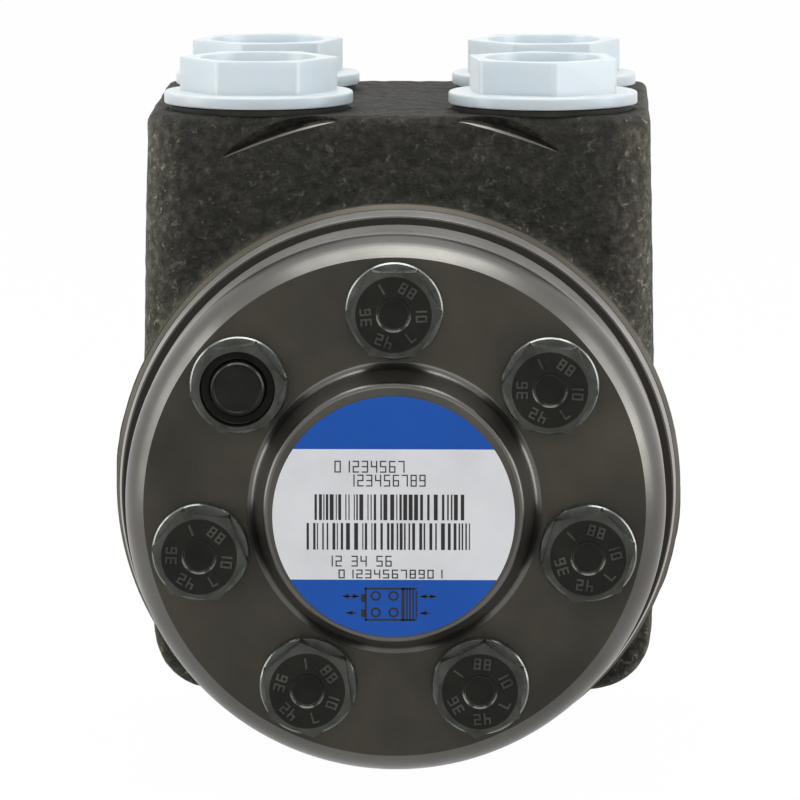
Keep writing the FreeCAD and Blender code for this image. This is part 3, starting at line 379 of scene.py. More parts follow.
FINISH = {
    "casting": cast_iron(),
    "machined_iron": turned("ductile_iron_machined", "#86837b", "#9c9990", 0.42, 0.5, 0.0006, 0.3),
    "turned_iron": turned("ductile_iron_rough_turned", "#46423a", "#5f5a4f", 0.5, 0.3, 0.001, 0.4),
    "cover": turned("steel_turned_and_phosphated", "#302e28", "#48443b", 0.3, 0.55, 0.0005, 0.12),
    # Lighter copies of the cover finish: a painted highlight on the slopes and painted light on
    # the boss walls.
    "bevel": turned("steel_turned_and_rubbed", "#52514d", "#676662", 0.3, 0.85, 0.0005, 0.1),
    "boss": turned("steel_turned_and_worn", "#3c3a35", "#53514b", 0.42, 0.5, 0.0005, 0.15),
    "rim": ring_steel("steel_ground_bright", "#858380", "#9f9d9a"),
    "rings": ring_steel("steel_ground_dull", "#7b7976", "#92908d"),
    "bolt": plain_steel("steel_black_oxide", "#191916", "#21211d", 0.42, 0.1, 0.1),
    # A lighter copy of the black oxide: a painted highlight on the sloping parts and flats of the
    # heads.
    "bolt_worn": plain_steel("steel_oxide_worn", "#30312d", "#4a4b46", 0.24, 0.8, 0.4),
    "washer": plain_steel("steel_zinc_dull", "#3d403d", "#5d605c", 0.26, 0.85),
    # A lighter copy of the zinc finish: a painted highlight on the washers' sloping front edges.
    "washer_painted_highlight": plain_steel("steel_zinc_rubbed", "#676a66", "#8b8e89", 0.24, 0.85),
    "steel": plain_steel("steel_ground", "#9a978f", "#b4b1aa", 0.3),
    "spring": plain_steel("spring_steel_blued", "#3c4250", "#565c68", 0.28),
    "rubber": nitrile(),
    "plug": polyethylene(),
    "blue_ink": printed_film("vinyl_film_blue", "#0f4da6"),
    "white_ink": printed_film("vinyl_film_white", "#d6d7db"),
    "black_ink": printed_film("vinyl_film_black", "#2a2929"),
}


def soften(points, steps=6):
    """Round the inner corners of a profile; each point is radius, station and corner radius."""
    out = []
    for k, (r, s, corner) in enumerate(points):
        here = Vector((r, s))
        if not corner or k in (0, len(points) - 1):
            out.append(here)
            continue
        back = (Vector(points[k - 1][:2]) - here).normalized()
        ahead = (Vector(points[k + 1][:2]) - here).normalized()
        half = back.angle(ahead) / 2
        centre = here + (back + ahead).normalized() * (corner / math.sin(half))
        first = (here + back * (corner / math.tan(half)) - centre).normalized()
        last = (here + ahead * (corner / math.tan(half)) - centre).normalized()
        out += [centre + first.slerp(last, i / steps) * corner for i in range(steps + 1)]
    return out


def lathe(profile, centre=(0, 0, 0), axis="Y", steps=128, closed=False):
    """A bmesh spun from a profile of radius and station, in millimetres, about an axis."""
    mesh = bmesh.new()
    spin_axis = Vector((0, 1, 0)) if axis == "Y" else Vector((0, 0, 1))
    middle = Vector(centre)
    verts = []
    for r, s in soften(profile):
        verts.append(mesh.verts.new(middle + Vector((r * MM, 0, 0)) + spin_axis * s * MM))
    edges = [mesh.edges.new(pair) for pair in zip(verts, verts[1:])]
    if closed:
        edges.append(mesh.edges.new((verts[-1], verts[0])))
    bmesh.ops.spin(
        mesh,
        geom=verts + edges,
        cent=middle,
        axis=spin_axis,
        angle=2 * math.pi,
        steps=steps,
        use_merge=True,
    )
    return mesh


def block(low, high):
    """A bmesh box between two corners, in metres."""
    mesh = bmesh.new()
    bmesh.ops.create_cube(mesh, size=1)
    middle = [(a + b) / 2 for a, b in zip(low, high)]
    size = [b - a for a, b in zip(low, high)]
    bmesh.ops.scale(mesh, vec=size, verts=mesh.verts)
    bmesh.ops.translate(mesh, vec=middle, verts=mesh.verts)
    return mesh


def prism(flats, low, high, centre, axis="Y", turn=0.0, edge=0.0):
    """A bmesh hexagonal prism across its flats, its long edges rounded, in metres."""
    mesh = bmesh.new()
    reach = flats / math.sqrt(3)
    bmesh.ops.create_cone(
        mesh, cap_ends=True, segments=6, radius1=reach, radius2=reach, depth=high - low
    )
    if edge:
        long_edges = [e for e in mesh.edges if abs(e.verts[0].co.z - e.verts[1].co.z) > edge]
        bmesh.ops.bevel(
            mesh,
            geom=long_edges,
            offset=edge,
            segments=4,
            profile=0.5,
            affect="EDGES",
            material=-1,
        )
    place = Matrix.Rotation(math.radians(turn), 4, "Z")
    place = Matrix.Translation((0, 0, (low + high) / 2)) @ place
    if axis == "Y":
        place = Matrix.Rotation(math.radians(-90), 4, "X") @ place
    bmesh.ops.transform(mesh, matrix=Matrix.Translation(centre) @ place, verts=mesh.verts)
    return mesh


def join(mesh, *others):
    """Take the other bmeshes into the first."""
    for other in others:
        spare = bpy.data.meshes.new("spare")
        other.to_mesh(spare)
        other.free()
        mesh.from_mesh(spare)
        bpy.data.meshes.remove(spare)
    return mesh


def piece(mesh, name, finishes, sharp=35, index=0):
    """A shown object from a bmesh: doubles merged, faces outwards, hard edges kept sharp."""
    bmesh.ops.remove_doubles(mesh, verts=mesh.verts, dist=1e-7)
    bmesh.ops.recalc_face_normals(mesh, faces=mesh.faces)
    for face in mesh.faces:
        face.material_index = index or face.material_index
    data = bpy.data.meshes.new(name)
    mesh.to_mesh(data)
    mesh.free()
    made = bpy.data.objects.new(name, data)
    bpy.context.scene.collection.objects.link(made)
    for key in finishes:
        data.materials.append(FINISH[key])
    shade(made, sharp)
    return made


def shade(made, sharp):
    """Smooth shading with edges kept hard above an angle in degrees."""
    mesh = bmesh.new()
    mesh.from_mesh(made.data)
    for face in mesh.faces:
        face.smooth = True
    for edge in mesh.edges:
        bent = len(edge.link_faces) == 2 and edge.calc_face_angle(0) > math.radians(sharp)
        edge.smooth = not bent
    mesh.to_mesh(made.data)
    mesh.free()


def bake(made):
    """Apply an object's modifiers to its mesh."""
    bpy.context.view_layer.update()
    graph = bpy.context.evaluated_depsgraph_get()
    fresh = bpy.data.meshes.new_from_object(made.evaluated_get(graph))
    stale = made.data
    fresh.name = stale.name
    made.modifiers.clear()
    made.data = fresh
    bpy.data.meshes.remove(stale)


def combine(made, mesh, operation="DIFFERENCE", index=0, solver="MANIFOLD"):
    """Cut, join or trim an object by a bmesh, for good."""
    finishes = [key for m in made.data.materials for key in FINISH if FINISH[key] is m]
    tool = piece(mesh, "tool", finishes, index=index)
    modifier = made.modifiers.new("shape", "BOOLEAN")
    modifier.object = tool
    modifier.operation = operation
    modifier.solver = solver
    bake(made)
    bpy.data.objects.remove(tool)


def seat(made, body, slot, *nodes):
    """Ride a piece on its body and hide the nodes that it stands for; the slot is not used."""
    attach(made, body)
    if nodes:
        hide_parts(*nodes)
    return made


def bolt_place(index):
    """The middle of a bolt on its circle, the first at the top."""
    angle = 2 * math.pi / BOLT_COUNT * index
    return Vector((-BOLT_CIRCLE * math.sin(angle), 0, BOLT_CIRCLE * math.cos(angle)))


def rounded_block(low, high, narrow, picks):
    """A box drawn in at the side faces towards one end, its edges rounded in turn; narrow gives
    the height of that end and its half width, and each pick is a test of an edge and a radius."""
    mesh = block(low, high)
    for vert in mesh.verts:
        if abs(vert.co.z - narrow[0]) < MM:
            vert.co.x = math.copysign(narrow[1], vert.co.x)
    for test, radius in picks:
        chosen = [e for e in mesh.edges if test((e.verts[0].co + e.verts[1].co) / 2, e)]
        bmesh.ops.bevel(
            mesh, geom=chosen, offset=radius, segments=8, profile=0.5, affect="EDGES", material=-1
        )
    return mesh


def runs(edge, axis):
    """Whether an edge runs mostly along an axis, 1 for Y and 2 for Z."""
    return abs(edge.verts[0].co[axis] - edge.verts[1].co[axis]) > 40 * MM


def make_housing():
    """The casting: rough skin from a fine remesh, then the machined cuts."""
    raw = rounded_block(
        (-HALF_MIDDLE, BLOCK_FRONT, 0),
        (HALF_MIDDLE, ALLOWANCE, BLOCK_TOP),
        (BLOCK_TOP, HALF_TOP),
        [
            (lambda m, e: runs(e, 2) and m.y < BLOCK_FRONT + MM, 9 * MM),
            (lambda m, e: m.z > BLOCK_TOP - 0.1 * MM and m.y < -MM, 1.2 * MM),
        ],
    )
    foot = rounded_block(
        (-HALF_MIDDLE, FOOT_FRONT, FOOT_BOTTOM),
        (HALF_MIDDLE, ALLOWANCE, 3 * MM),
        (FOOT_BOTTOM, HALF_FOOT),
        [
            (lambda m, e: runs(e, 1) and m.z < FOOT_BOTTOM + MM, 12 * MM),
            (lambda m, e: abs(m.y - FOOT_FRONT) < 0.1 * MM, 2.5 * MM),
        ],
    )
    column, behind, turned_back = ALLOWANCE / MM, FLANGE_BACK / MM, TURNED_BACK / MM
    front = RIM_BACK / MM - 3
    reach = FLANGE_RADIUS / MM
    barrel = lathe(
        [
            (0, column, 0),
            (BARREL_RADIUS / MM, column, 0),
            (BARREL_RADIUS / MM, behind, 3),
            (reach - 0.2, behind, 2.4),
            (reach - 0.2, turned_back, 0),
            (reach + 0.6, turned_back - 0.6, 0),
            (reach + 0.6, front, 0),
            (0, front, 0),
        ],
        steps=192,
    )
    casting = piece(join(raw, foot, barrel), "housing_casting", HOUSING_FINISHES)
    remesh = casting.modifiers.new("skin", "REMESH")
    remesh.mode = "VOXEL"
    remesh.voxel_size = VOXEL
    bake(casting)
    roughen(casting)
    combine(casting, gouge(-12, -34, 6.9))
    combine(casting, gouge(11.5, 31, 5.8))
    face_ends(casting)
    cut_bore(casting)
    drill(casting)
    shade(casting, 32)
    seat(casting, "valve_body", "casting", "housing")


def gouge(start, end, drop):
    """A cutter for a trimmed arc in the front skin under a front plug, deepest in its middle; x
    of its ends and the drop between them in millimetres."""
    mesh = bmesh.new()
    section = [(-1, -0.2), (0, 0), (0.9, 0.5), (3.2, 1.5), (2.4, 2.6), (-0.3, 3.3), (-1, 3.3)]
    sections = []
    for i in range(25):
        t = i / 24
        x = start + (end - start) * t
        z = BLOCK_TOP / MM - 1.3 - drop * t**1.25
        size = math.sin(math.pi * (0.03 + 0.94 * t)) ** 0.6
        places = [Vector((x, BLOCK_FRONT / MM + d * size, z + h * size)) for d, h in section]
        sections.append([mesh.verts.new(place * MM) for place in places])
    for near, far in zip(sections, sections[1:]):
        for k in range(len(section)):
            face = mesh.faces.new((near[k - 1], near[k], far[k], far[k - 1]))
            face.material_index = MACHINED if k == 2 else CAST
    mesh.faces.new(sections[0])
    mesh.faces.new(sections[-1])
    return mesh


def roughen(casting):
    """Melt the corners a little and leave the unevenness and the parting line of a sand mould."""
    mesh = bmesh.new()
    mesh.from_mesh(casting.data)
    for _ in range(4):
        bmesh.ops.smooth_vert(
            mesh, verts=mesh.verts, factor=0.5, use_axis_x=True, use_axis_y=True, use_axis_z=True
        )
    mesh.normal_update()
    for vert in mesh.verts:
        wave = noise.noise(vert.co * 110) * 0.14 + noise.noise(vert.co * 420) * 0.11
        line = max(0, 1 - abs(vert.co.z) / PARTING_HALF)
        half = math.copysign(MOULD_SHIFT, -vert.co.z)
        rise = (wave - 0.08) * MM + PARTING_RISE * line
        vert.co += vert.normal * rise + Vector((half, 0, 0))
        vert.co.x = max(-LIMIT, min(LIMIT, vert.co.x))
        vert.co.z = max(-LIMIT, vert.co.z)
    for face in mesh.faces:
        face.material_index = CAST
    mesh.to_mesh(casting.data)
    mesh.free()


def face_ends(casting):
    """The column face, the rim that meets the plate and the turned front of the flange."""
    half = 80 * MM
    combine(casting, block((-half, 0, -half), (half, 20 * MM, half)), index=MACHINED)
    combine(casting, block((-half, RIM_BACK - 20 * MM, -half), (half, RIM_BACK, half)))
    lip, reach = RIM_RADIUS / MM, FLANGE_RADIUS / MM
    front, rear = RIM_BACK / MM, TURNED_BACK / MM
    rim = lathe(
        [
            (12, RIM_FRONT / MM, 0),
            (lip, RIM_FRONT / MM, 0.3),
            (lip, front + 1, 0),
            (12, front + 1, 0),
        ],
        steps=192,
        closed=True,
    )
    combine(casting, rim, "UNION", BRIGHT)
    skim = lathe(
        [
            (lip + 0.1, front - 1, 0),
            (58, front - 1, 0),
            (58, rear + 0.4, 0),
            (reach, rear, 0),
            (reach, front + 1.1, 0),
            (lip + 0.1, front, 0),
        ],
        steps=192,
        closed=True,
    )
    combine(casting, skim, index=TURNED)


def cut_bore(casting):
    """The bore for the sleeve, with the seal's groove and the mouth at the column face."""
    inside = SLEEVE_BORE / MM
    bore = lathe(
        [
            (0, 1, 0),
            (18.1, 1, 0),
            (17.5, -0.6, 0),
            (17.5, -3.5, 0),
            (15, -3.5, 0),
            (15, -4.5, 0),
            (17, -4.5, 0),
            (17, -9, 0),
            (inside, -9, 0),
            (inside, -93, 0),
            (0, -93, 0),
        ]
    )
    combine(casting, bore, index=MACHINED)


def drill(casting):
    """The four blind holes in the column face and the four ports."""
    for x in (-1, 1):
        for z in (-1, 1):
            hole = lathe(
                [(0, 1, 0), (6, 1, 0), (4.25, -0.75, 0), (4.25, -18, 0), (0, -20.4, 0)],
                (x * COLUMN_OFFSET, 0, z * COLUMN_OFFSET),
                steps=48,
            )
            combine(casting, hole, index=MACHINED)
    for y in PORT_ROWS.values():
        for x in (-PORT_X, PORT_X):
            port = lathe(
                [
                    (0, 2, 0),
                    (18.0, 2, 0),
                    (18.0, -0.4, 0),
                    (11.3, -0.4, 0),
                    (10.3, -1.4, 0),
                    (10.3, -15, 0),
                    (0, -15, 0),
                ],
                (x, y, BLOCK_TOP),
                "Z",
                steps=96,
            )
            combine(casting, port, index=MACHINED)


def make_plate_rim():
    """The distributor plate's ground rim, its front edge broken."""
    rear = PLATE[1].y / MM - 0.05
    front = PLATE[0].y / MM
    inside, reach = PLATE_RADIUS / MM + 0.01, RIM_RADIUS / MM
    ring = lathe(
        [
            (inside, rear, 0),
            (reach, rear, 0),
            (reach - 0.05, front + 3, 5),
            (reach - 0.5, front + 0.4, 0.5),
            (inside, front + 0.02, 0),
        ],
        steps=256,
        closed=True,
    )
    seat(piece(ring, "distributor_plate_rim", ["rim"]), "valve_body", "ground_steel")


def make_end_cover():
    """Turned cover: rim, long round shoulder, flat face and the boss for the label."""
    face = COVER_FACE / MM
    rear = COVER[1].y / MM
    boss = BOSS_TOP / MM
    edge = COVER_RADIUS / MM
    profile = [
        (0, rear, 0),
        (edge, rear, 0.3),
        (edge, face + 3.4, 11),
        (COVER_FLAT / MM, face, 0),
        (BOSS_FOOT / MM, face, 2),
        (BOSS_RADIUS / MM, boss, 1.4),
        (0, boss, 0),
    ]
    mesh = lathe(profile, steps=256)
    mesh.normal_update()
    # Slopes and the outer shoulder take the bevel finish, a painted highlight; the boss takes a
    # lighter copy, painted light on its shaded walls.
    for polygon in mesh.faces:
        reach = polygon.calc_center_median().xz.length
        flat = abs(polygon.normal.y)
        if reach > COVER_RADIUS - 0.1 * MM:
            polygon.material_index = RINGS
        elif 0.35 < flat < 0.98 or reach > COVER_FLAT:
            polygon.material_index = BEVEL
        else:
            polygon.material_index = BOSS if reach < BOSS_FOOT - 0.6 * MM else FACE
    cover = piece(mesh, "end_cover_turned", COVER_FINISHES, 25)
    seat(cover, "valve_body", "cover_steel", "end_cover")


def make_washer(index, centre, low):
    """A sealing washer, its sloping front edge given a lighter copy of its finish, a painted
    highlight.
    """
    seat_face = COVER_FACE / MM
    ring = [
        (5.3, seat_face, 0),
        (9.35, seat_face, 0.1),
        (9.35, low + 0.35, 0.1),
        (9.05, low, 0.1),
        (5.3, low, 0),
    ]
    washer = piece(
        lathe(ring, centre, steps=96, closed=True),
        f"cover_bolt_{index}_washer",
        ["washer", "washer_painted_highlight"],
    )
    for polygon in washer.data.polygons:
        # Painted highlight: the sloping front edge takes the lighter copy.
        polygon.material_index = PAINTED_HIGHLIGHT if 0.3 < -polygon.normal.y < 0.9 else PLAIN
    seat(washer, "valve_body", "washer_steel", "bolt_washers")


def make_bolts():
    """Seven hexagon bolts with coned crowns and dished tops, each on a washer; one has a deep
    cup round a raised middle."""
    low = WASHER_FACE / MM
    top = HEAD_TOP / MM
    face = top + 0.14
    cone = [(0, low + 1, 0), (9.6, low + 1, 0), (9.6, face + 1.35, 0)]
    dished = [
        (7.25, face, 0.15),
        (3.35, face, 0),
        (3.0, face + 0.35, 0),
        (2.9, face + 0.8, 0.2),
        (0, face + 0.95, 0),
    ]
    cupped = [
        (7.6, face + 0.2, 0),
        (7.2, face, 0),
        (7.0, face + 3.0, 0.2),
        (5.5, face + 3.0, 0.2),
        (5.2, face + 0.5, 0),
        (4.8, face + 0.1, 0.05),
        (4.5, face + 0.1, 0),
        (4.3, face + 0.35, 0),
        (0, face + 0.35, 0),
    ]
    for index, turn in enumerate(HEAD_TURNS):
        centre = bolt_place(index)
        pin = index == PIN_BOLT
        head = piece(
            prism(HEAD_FLATS, top * MM, low * MM, centre, turn=turn, edge=0.2 * MM),
            f"cover_bolt_{index}_head",
            ["bolt", "bolt_worn"],
        )
        crown = cone + (cupped if pin else dished)
        combine(head, lathe(crown, centre, steps=96), "INTERSECT")
        paint_highlights(head)
        shade(head, 20)
        seat(head, "valve_body", "bolt_steel", "pin_bolt" if pin else "cover_bolts")
        make_washer(index, centre, low)
        if not pin:
            marks = head_marks(f"cover_bolt_{index}_marks", centre, face, turn)
            seat(marks, "valve_body", "bolt_steel")


def paint_highlights(head):
    """Paint highlights: the sloping parts and the flats of a bolt head take a lighter copy of the
    finish; its top stays black.
    """
    for polygon in head.data.polygons:
        slope = -polygon.normal.y
        flat = abs(slope) < 0.1 and polygon.area > 5 * MM**2
        polygon.material_index = PAINTED_HIGHLIGHT if 0.3 < slope < 0.95 or flat else PLAIN


def head_marks(name, centre, face, turn):
    """Plain raised numbers round the dish of a bolt head."""
    marks = bmesh.new()
    wide, pitch, lift = 1.35, 1.9, 4.2
    base = Matrix.Translation((centre.x, (face - 0.12) * MM, centre.z))
    for text, angle in HEAD_MARKS:
        spin = Matrix.Rotation(math.radians(angle + turn), 4, "Y")
        half = (pitch * (len(text) - 1) + wide) / 2
        for x0, x1, z0, z1 in digit_bars(text, wide, 2.2, 0.38, pitch):
            bar = block((x0 * MM, 0, z0 * MM), (x1 * MM, 0.3 * MM, z1 * MM))
            bmesh.ops.translate(bar, vec=(-half * MM, 0, lift * MM), verts=bar.verts)
            bmesh.ops.transform(bar, matrix=base @ spin, verts=bar.verts)
            join(marks, bar)
    return piece(marks, name, ["bolt_worn"])


def make_plugs():
    """Moulded transit plugs: flange, hollow hexagon, hollow shank, and the seal below."""
    for name, turn in PLUG_TURNS.items():
        row, side = name.split("_")
        y = PORT_ROWS[row]
        x = -PORT_X if side == "left" else PORT_X
        centre = Vector((x, y, BLOCK_TOP))
        node = "plug_" + name
        flange = lathe(
            [
                (0, 1.1, 0),
                (0, -0.9, 0),
                (8.4, -0.9, 0.4),
                (8.4, -9.4, 0),
                (9.6, -9.4, 0.3),
                (10.2, -8.4, 0.3),
                (10.2, 1.1, 0),
                (18.6, 1.1, 0.3),
                (18.6, 3.5, 0.5),
                (0, 3.5, 0),
            ],
            centre,
            "Z",
            steps=96,
        )
        plug = piece(flange, node + "_moulded", ["plug"])
        head = prism(PLUG_FLATS, 3.2 * MM, 10.1 * MM, centre, "Z", turn + 30, 0.9 * MM)
        combine(plug, head, "UNION")
        cup = lathe([(0, 3.5, 0), (11.3, 3.5, 0.4), (11.4, 12, 0), (0, 12, 0)], centre, "Z", 96)
        combine(plug, cup)
        soft = plug.modifiers.new("soft_edges", "BEVEL")
        soft.width = 0.15 * MM
        soft.segments = 2
        soft.limit_method = "ANGLE"
        soft.angle_limit = math.radians(40)
        bake(plug)
        shade(plug, 40)
        seat(plug, node, "plug_plastic", node)
        seal = piece(
            lathe(
                [(10.35, -0.38, 0.2), (17.75, -0.38, 0.3), (17.75, 1.08, 0.5), (10.35, 1.08, 0.2)],
                centre,
                "Z",
                96,
                closed=True,
            ),
            node + "_seal_ring",
            ["rubber"],
        )
        seat(seal, node, "plug_seal_rubber", node + "_seal")


def make_springs():
    """The centring leaves, split where they cross from the sleeve into the spool so that each
    part turns with the one that holds it."""
    low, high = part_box("centring_springs")
    pitch = (high.z - low.z + LEAF_GAP) / LEAF_COUNT
    inner = SPOOL_EDGE - LEAF_END_GAP
    parts = {
        "left": ("sleeve", low.x, -SPOOL_EDGE),
        "middle": ("spool", -inner, inner),
        "right": ("sleeve", SPOOL_EDGE, high.x),
    }
    for name, (body, start, end) in parts.items():
        pack = bmesh.new()
        for i in range(LEAF_COUNT):
            z = low.z + i * pitch
            join(pack, block((start, low.y, z), (end, high.y, z + pitch - LEAF_GAP)))
        leaves = piece(pack, "centring_leaves_" + name, ["spring"])
        seat(leaves, body, "spring_steel", "centring_springs")


SEGMENTS = {
    "0": "abcdef",
    "1": "bc",
    "2": "abged",
    "3": "abgcd",
    "4": "fgbc",
    "5": "afgcd",
    "6": "afgedc",
    "7": "abc",
    "8": "abcdefg",
    "9": "abcdfg",
}


def digit_bars(text, width, height, stroke, pitch):
    """The strokes of plain numbers as boxes of x and z, from the lower left of the first."""
    bars = []
    half = height / 2
    for k, digit in enumerate(text):
        x = k * pitch
        lit = SEGMENTS[digit]
        foot = stroke if "d" in lit else 0
        rest = stroke / 2 if "g" in lit else 0
        top = height - stroke if "a" in lit else height
        places = {
            "a": (x, x + width, top, height),
            "b": (x + width - stroke, x + width, half + rest, top),
            "c": (x + width - stroke, x + width, foot, half - rest),
            "d": (x, x + width, 0, foot),
            "e": (x, x + stroke, foot, half - rest),
            "f": (x, x + stroke, half + rest, top),
            "g": (x, x + width, half - rest, half + rest),
        }
        bars += [places[key] for key in lit]
    return bars


def on_label(px, py):
    """A point of the label face in millimetres from the photograph's pixels."""
    x, y = LABEL_MIDDLE
    return (px - x) / LABEL_SCALE, (y - py) / LABEL_SCALE - LABEL_DROP


def ink(mesh, points):
    """Print one filled outline, given in millimetres of x and z, on the label face."""
    face = LABEL[0].y
    made = bmesh.new()
    corners = [made.verts.new((x * MM, face - 0.02 * MM, z * MM)) for x, z in points]
    base = made.faces.new(corners)
    grown = bmesh.ops.extrude_face_region(made, geom=[base])["geom"]
    lifted = [part for part in grown if isinstance(part, bmesh.types.BMVert)]
    bmesh.ops.translate(made, vec=(0, 0.05 * MM, 0), verts=lifted)
    join(mesh, made)


def ink_box(mesh, x0, x1, z0, z1):
    """Print a filled rectangle."""
    ink(mesh, [(x0, z0), (x1, z0), (x1, z1), (x0, z1)])


def ink_text(mesh, text, px, py, high, long):
    """Plain numbers whose lower left is at a pixel, high and long in pixels."""
    x, z = on_label(px, py)
    pitch = long / LABEL_SCALE / len(text)
    for x0, x1, z0, z1 in digit_bars(text, pitch * 0.7, high / LABEL_SCALE, 0.23, pitch):
        ink_box(mesh, x + x0, x + x1, z + z0, z + z1)


def ink_bars(mesh, left, right, top, bottom):
    """A row of upright bars and gaps of random widths."""
    x, high = on_label(left, top)
    end, low = on_label(right, bottom)
    while x < end:
        width = random.choice((0.2, 0.3, 0.45, 0.55, 0.75))
        ink_box(mesh, x, min(x + width, end), low, high)
        x += width + random.choice((0.28, 0.4, 0.55, 0.8))


def ink_arrow(mesh, x0, x1, z, ends):
    """A thin arrow along x with a head at each end that is named by its sign."""
    ink_box(mesh, x0, x1, z - 0.12, z + 0.12)
    for end in ends:
        tip = x1 if end > 0 else x0
        heel = tip - end * 1.2
        ink(mesh, [(tip, z), (heel, z + 0.5), (heel, z - 0.5)])


def ink_symbol(mesh):
    """The drawing of a valve block with four ports and the arrows of their flow."""
    for x0, x1, z0, z1 in (
        (-5.5, 4.4, -14.7, -14.35),
        (-5.5, 4.4, -20.7, -20.35),
        (-5.5, -5.1, -20.7, -14.35),
        (1.5, 2.1, -20.7, -14.35),
        (2.4, 2.7, -20.7, -14.35),
        (3.0, 3.3, -20.7, -14.35),
        (3.6, 3.9, -20.6, -14.5),
        (4.2, 4.5, -20.2, -14.9),
        (-6.2, -5.4, -17.1, -15.6),
        (-6.2, -5.4, -20.0, -18.5),
    ):
        ink_box(mesh, x0, x1, z0, z1)
    front = LABEL[0].y / MM - 0.02
    back = front + 0.05
    for x in (-3.4, 0.0):
        for z in (-15.9, -19.1):
            ring = [(0.6, front, 0), (1.0, front, 0), (1.0, back, 0), (0.6, back, 0)]
            join(mesh, lathe(ring, (x * MM, 0, z * MM), steps=24, closed=True))
    ink_arrow(mesh, -9.7, -6.6, -16.0, (-1, 1))
    ink_arrow(mesh, -9.0, -6.9, -19.2, (-1,))
    ink_arrow(mesh, 5.1, 8.1, -16.0, (-1, 1))
    ink_arrow(mesh, 5.1, 7.0, -19.2, (-1,))


def make_label():
    """The round film: a blue field, a white band, and plain numbers, bars and a port drawing."""
    radius = (LABEL[1].x - LABEL[0].x) / 2 / MM
    drop = (LABEL[0].z + LABEL[1].z) / 2
    back = LABEL[1].y / MM
    front = LABEL[0].y / MM
    disc = lathe(
        [(0, back, 0), (radius, back, 0), (radius, front, 0.1), (0, front, 0)],
        (0, 0, drop),
        steps=128,
    )
    for height in (BAND_TOP, BAND_BOTTOM):
        bmesh.ops.bisect_plane(
            disc,
            geom=disc.verts[:] + disc.edges[:] + disc.faces[:],
            plane_co=(0, 0, height),
            plane_no=(0, 0, 1),
        )
    for face in disc.faces:
        middle = face.calc_center_median().z
        face.material_index = int(BAND_BOTTOM < middle < BAND_TOP)
    film = piece(disc, "label_film_disc", ["blue_ink", "white_ink"])
    seat(film, "valve_body", "label_film", "label")

    print_mesh = bmesh.new()
    for text, px, py, high, long in (
        ("01234567", 333, 471, 12, 73),
        ("123456789", 347, 485, 12, 80),
        ("12", 325, 566, 11, 18),
        ("34", 350, 566, 11, 18),
        ("56", 375, 566, 11, 18),
        ("012345678901", 337, 578, 9, 107),
    ):
        ink_text(print_mesh, text, px, py, high, long)
    ink_bars(print_mesh, 313, 463, 493, 519)
    ink_bars(print_mesh, 305, 473, 522, 549)
    ink_symbol(print_mesh)
    printed = piece(print_mesh, "label_print", ["black_ink"])
    seat(printed, "valve_body", "label_film")


SLOT_FINISH = {
    "casting": "casting",
    "cover_steel": "cover",
    "bolt_steel": "bolt",
    "washer_steel": "washer",
    "ground_steel": "rings",
    "inner_steel": "steel",
    "polished_steel": "steel",
    "spring_steel": "spring",
    "seal_rubber": "rubber",
    "plug_seal_rubber": "rubber",
    "plug_plastic": "plug",
    "label_film": "white_ink",
}


def dress_nodes():
    """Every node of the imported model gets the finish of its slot."""
    for entry in frame["record"]["subparts"]:
        node = frame["nodes"][entry["node"]]
        node.data.materials.clear()
        node.data.materials.append(FINISH[SLOT_FINISH[entry["material_slot"]]])


def seen_rays(tree):
    """1 for what the camera sees, also in a reflection or through a plug, and 0 for the rest."""
    rays = add(tree, "ShaderNodeLightPath").outputs
    seen = rays["Is Camera Ray"]
    for kind in ("Is Glossy Ray", "Is Transmission Ray"):
        pair = [(seen, 0), (rays[kind], 1)]
        seen = add(tree, "ShaderNodeMath", pair, operation="MAXIMUM").outputs[0]
    return seen


def make_floor():
    """A pale floor that looks plain white to the camera."""
    mesh = bmesh.new()
    bmesh.ops.create_grid(mesh, x_segments=1, y_segments=1, size=4)
    bmesh.ops.translate(mesh, vec=(0, 0, -55.3 * MM), verts=mesh.verts)
    data = bpy.data.meshes.new("floor")
    mesh.to_mesh(data)
    mesh.free()
    floor = bpy.data.objects.new("floor", data)
    bpy.context.scene.collection.objects.link(floor)
    material = bpy.data.materials.new("painted_board_white")
    material.use_nodes = True
    tree = material.node_tree
    shader = tree.nodes["Principled BSDF"]
    shader.inputs["Base Color"].default_value = colour("#e6e6e4")
    shader.inputs["Roughness"].default_value = 0.9
    glow = add(tree, "ShaderNodeEmission", in_Color=(1, 1, 1, 1), in_Strength=1.0)
    share = add(
        tree, "ShaderNodeMath", [(seen_rays(tree), 0)], operation="MULTIPLY", in_1=0.985
    ).outputs[0]
    mix = add(
        tree, "ShaderNodeMixShader", [(share, 0), (shader.outputs[0], 1), (glow.outputs[0], 2)]
    )
    tree.links.new(mix.outputs[0], tree.nodes["Material Output"].inputs["Surface"])
    data.materials.append(material)


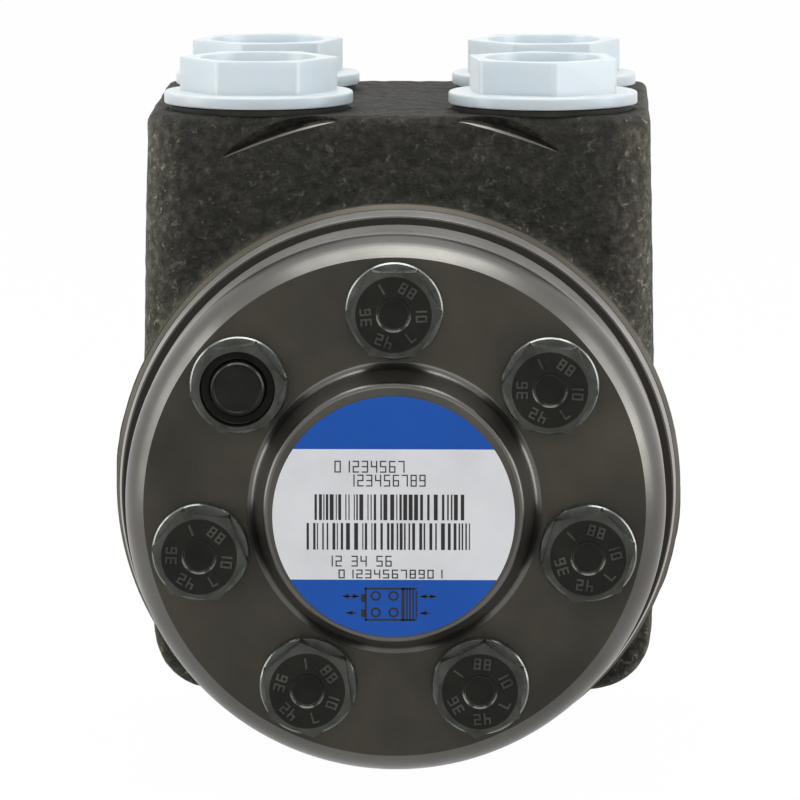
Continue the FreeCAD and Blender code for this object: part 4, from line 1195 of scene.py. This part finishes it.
def make_world():
    """Plain white surroundings that light the part only softly."""
    world = bpy.data.worlds.new("studio")
    bpy.context.scene.world = world
    world.use_nodes = True
    tree = world.node_tree
    ground = tree.nodes["Background"]
    ground.inputs["Color"].default_value = (1, 1, 1, 1)
    strength = add(
        tree, "ShaderNodeMapRange", [(seen_rays(tree), "Value")], in_3=0.35, in_4=1.0
    ).outputs["Result"]
    tree.links.new(strength, ground.inputs["Strength"])


def lamp(name, place, aim, size, watts):
    """A soft rectangular light at a place, turned to its aim."""
    data = bpy.data.lights.new(name, "AREA")
    data.shape = "RECTANGLE"
    data.size, data.size_y = size
    data.energy = watts
    made = bpy.data.objects.new(name, data)
    made.location = place
    made.rotation_euler = (Vector(aim) - Vector(place)).to_track_quat("-Z", "Y").to_euler()
    bpy.context.scene.collection.objects.link(made)


def make_lights():
    """A large light overhead, one at each side and a faint one in front."""
    middle = (0, -0.1, 0.01)
    lamp("overhead", (0, -0.08, 1.0), (0, -0.09, 0.05), (1.0, 0.6), 9.8)
    lamp("left_softbox", (-0.95, -0.2, 0.3), middle, (0.5, 0.8), 4.6)
    lamp("right_softbox", (0.95, -0.2, 0.3), middle, (0.5, 0.8), 5.2)
    lamp("front_softbox", (0, -1.3, 0.5), middle, (0.9, 0.5), 2.2)


def make_camera():
    """The photograph's view: a long lens, slightly above and to the right."""
    data = bpy.data.cameras.new("camera")
    data.sensor_width = 36
    data.lens = 349.3
    data.clip_end = 20
    made = bpy.data.objects.new("camera", data)
    side, up = math.radians(CAMERA_SIDE), math.radians(CAMERA_UP)
    back = Vector((math.sin(side) * math.cos(up), -math.cos(side) * math.cos(up), math.sin(up)))
    made.location = Vector(CAMERA_AIM) * MM + back * CAMERA_DISTANCE * MM
    made.rotation_euler = (-back).to_track_quat("-Z", "Y").to_euler()
    bpy.context.scene.collection.objects.link(made)
    bpy.context.scene.camera = made
    bpy.context.scene.view_settings.view_transform = "Standard"


random.seed(7)
make_housing()
make_plate_rim()
make_end_cover()
make_bolts()
make_plugs()
make_springs()
make_label()
dress_nodes()
make_floor()
make_world()
make_lights()
make_camera()
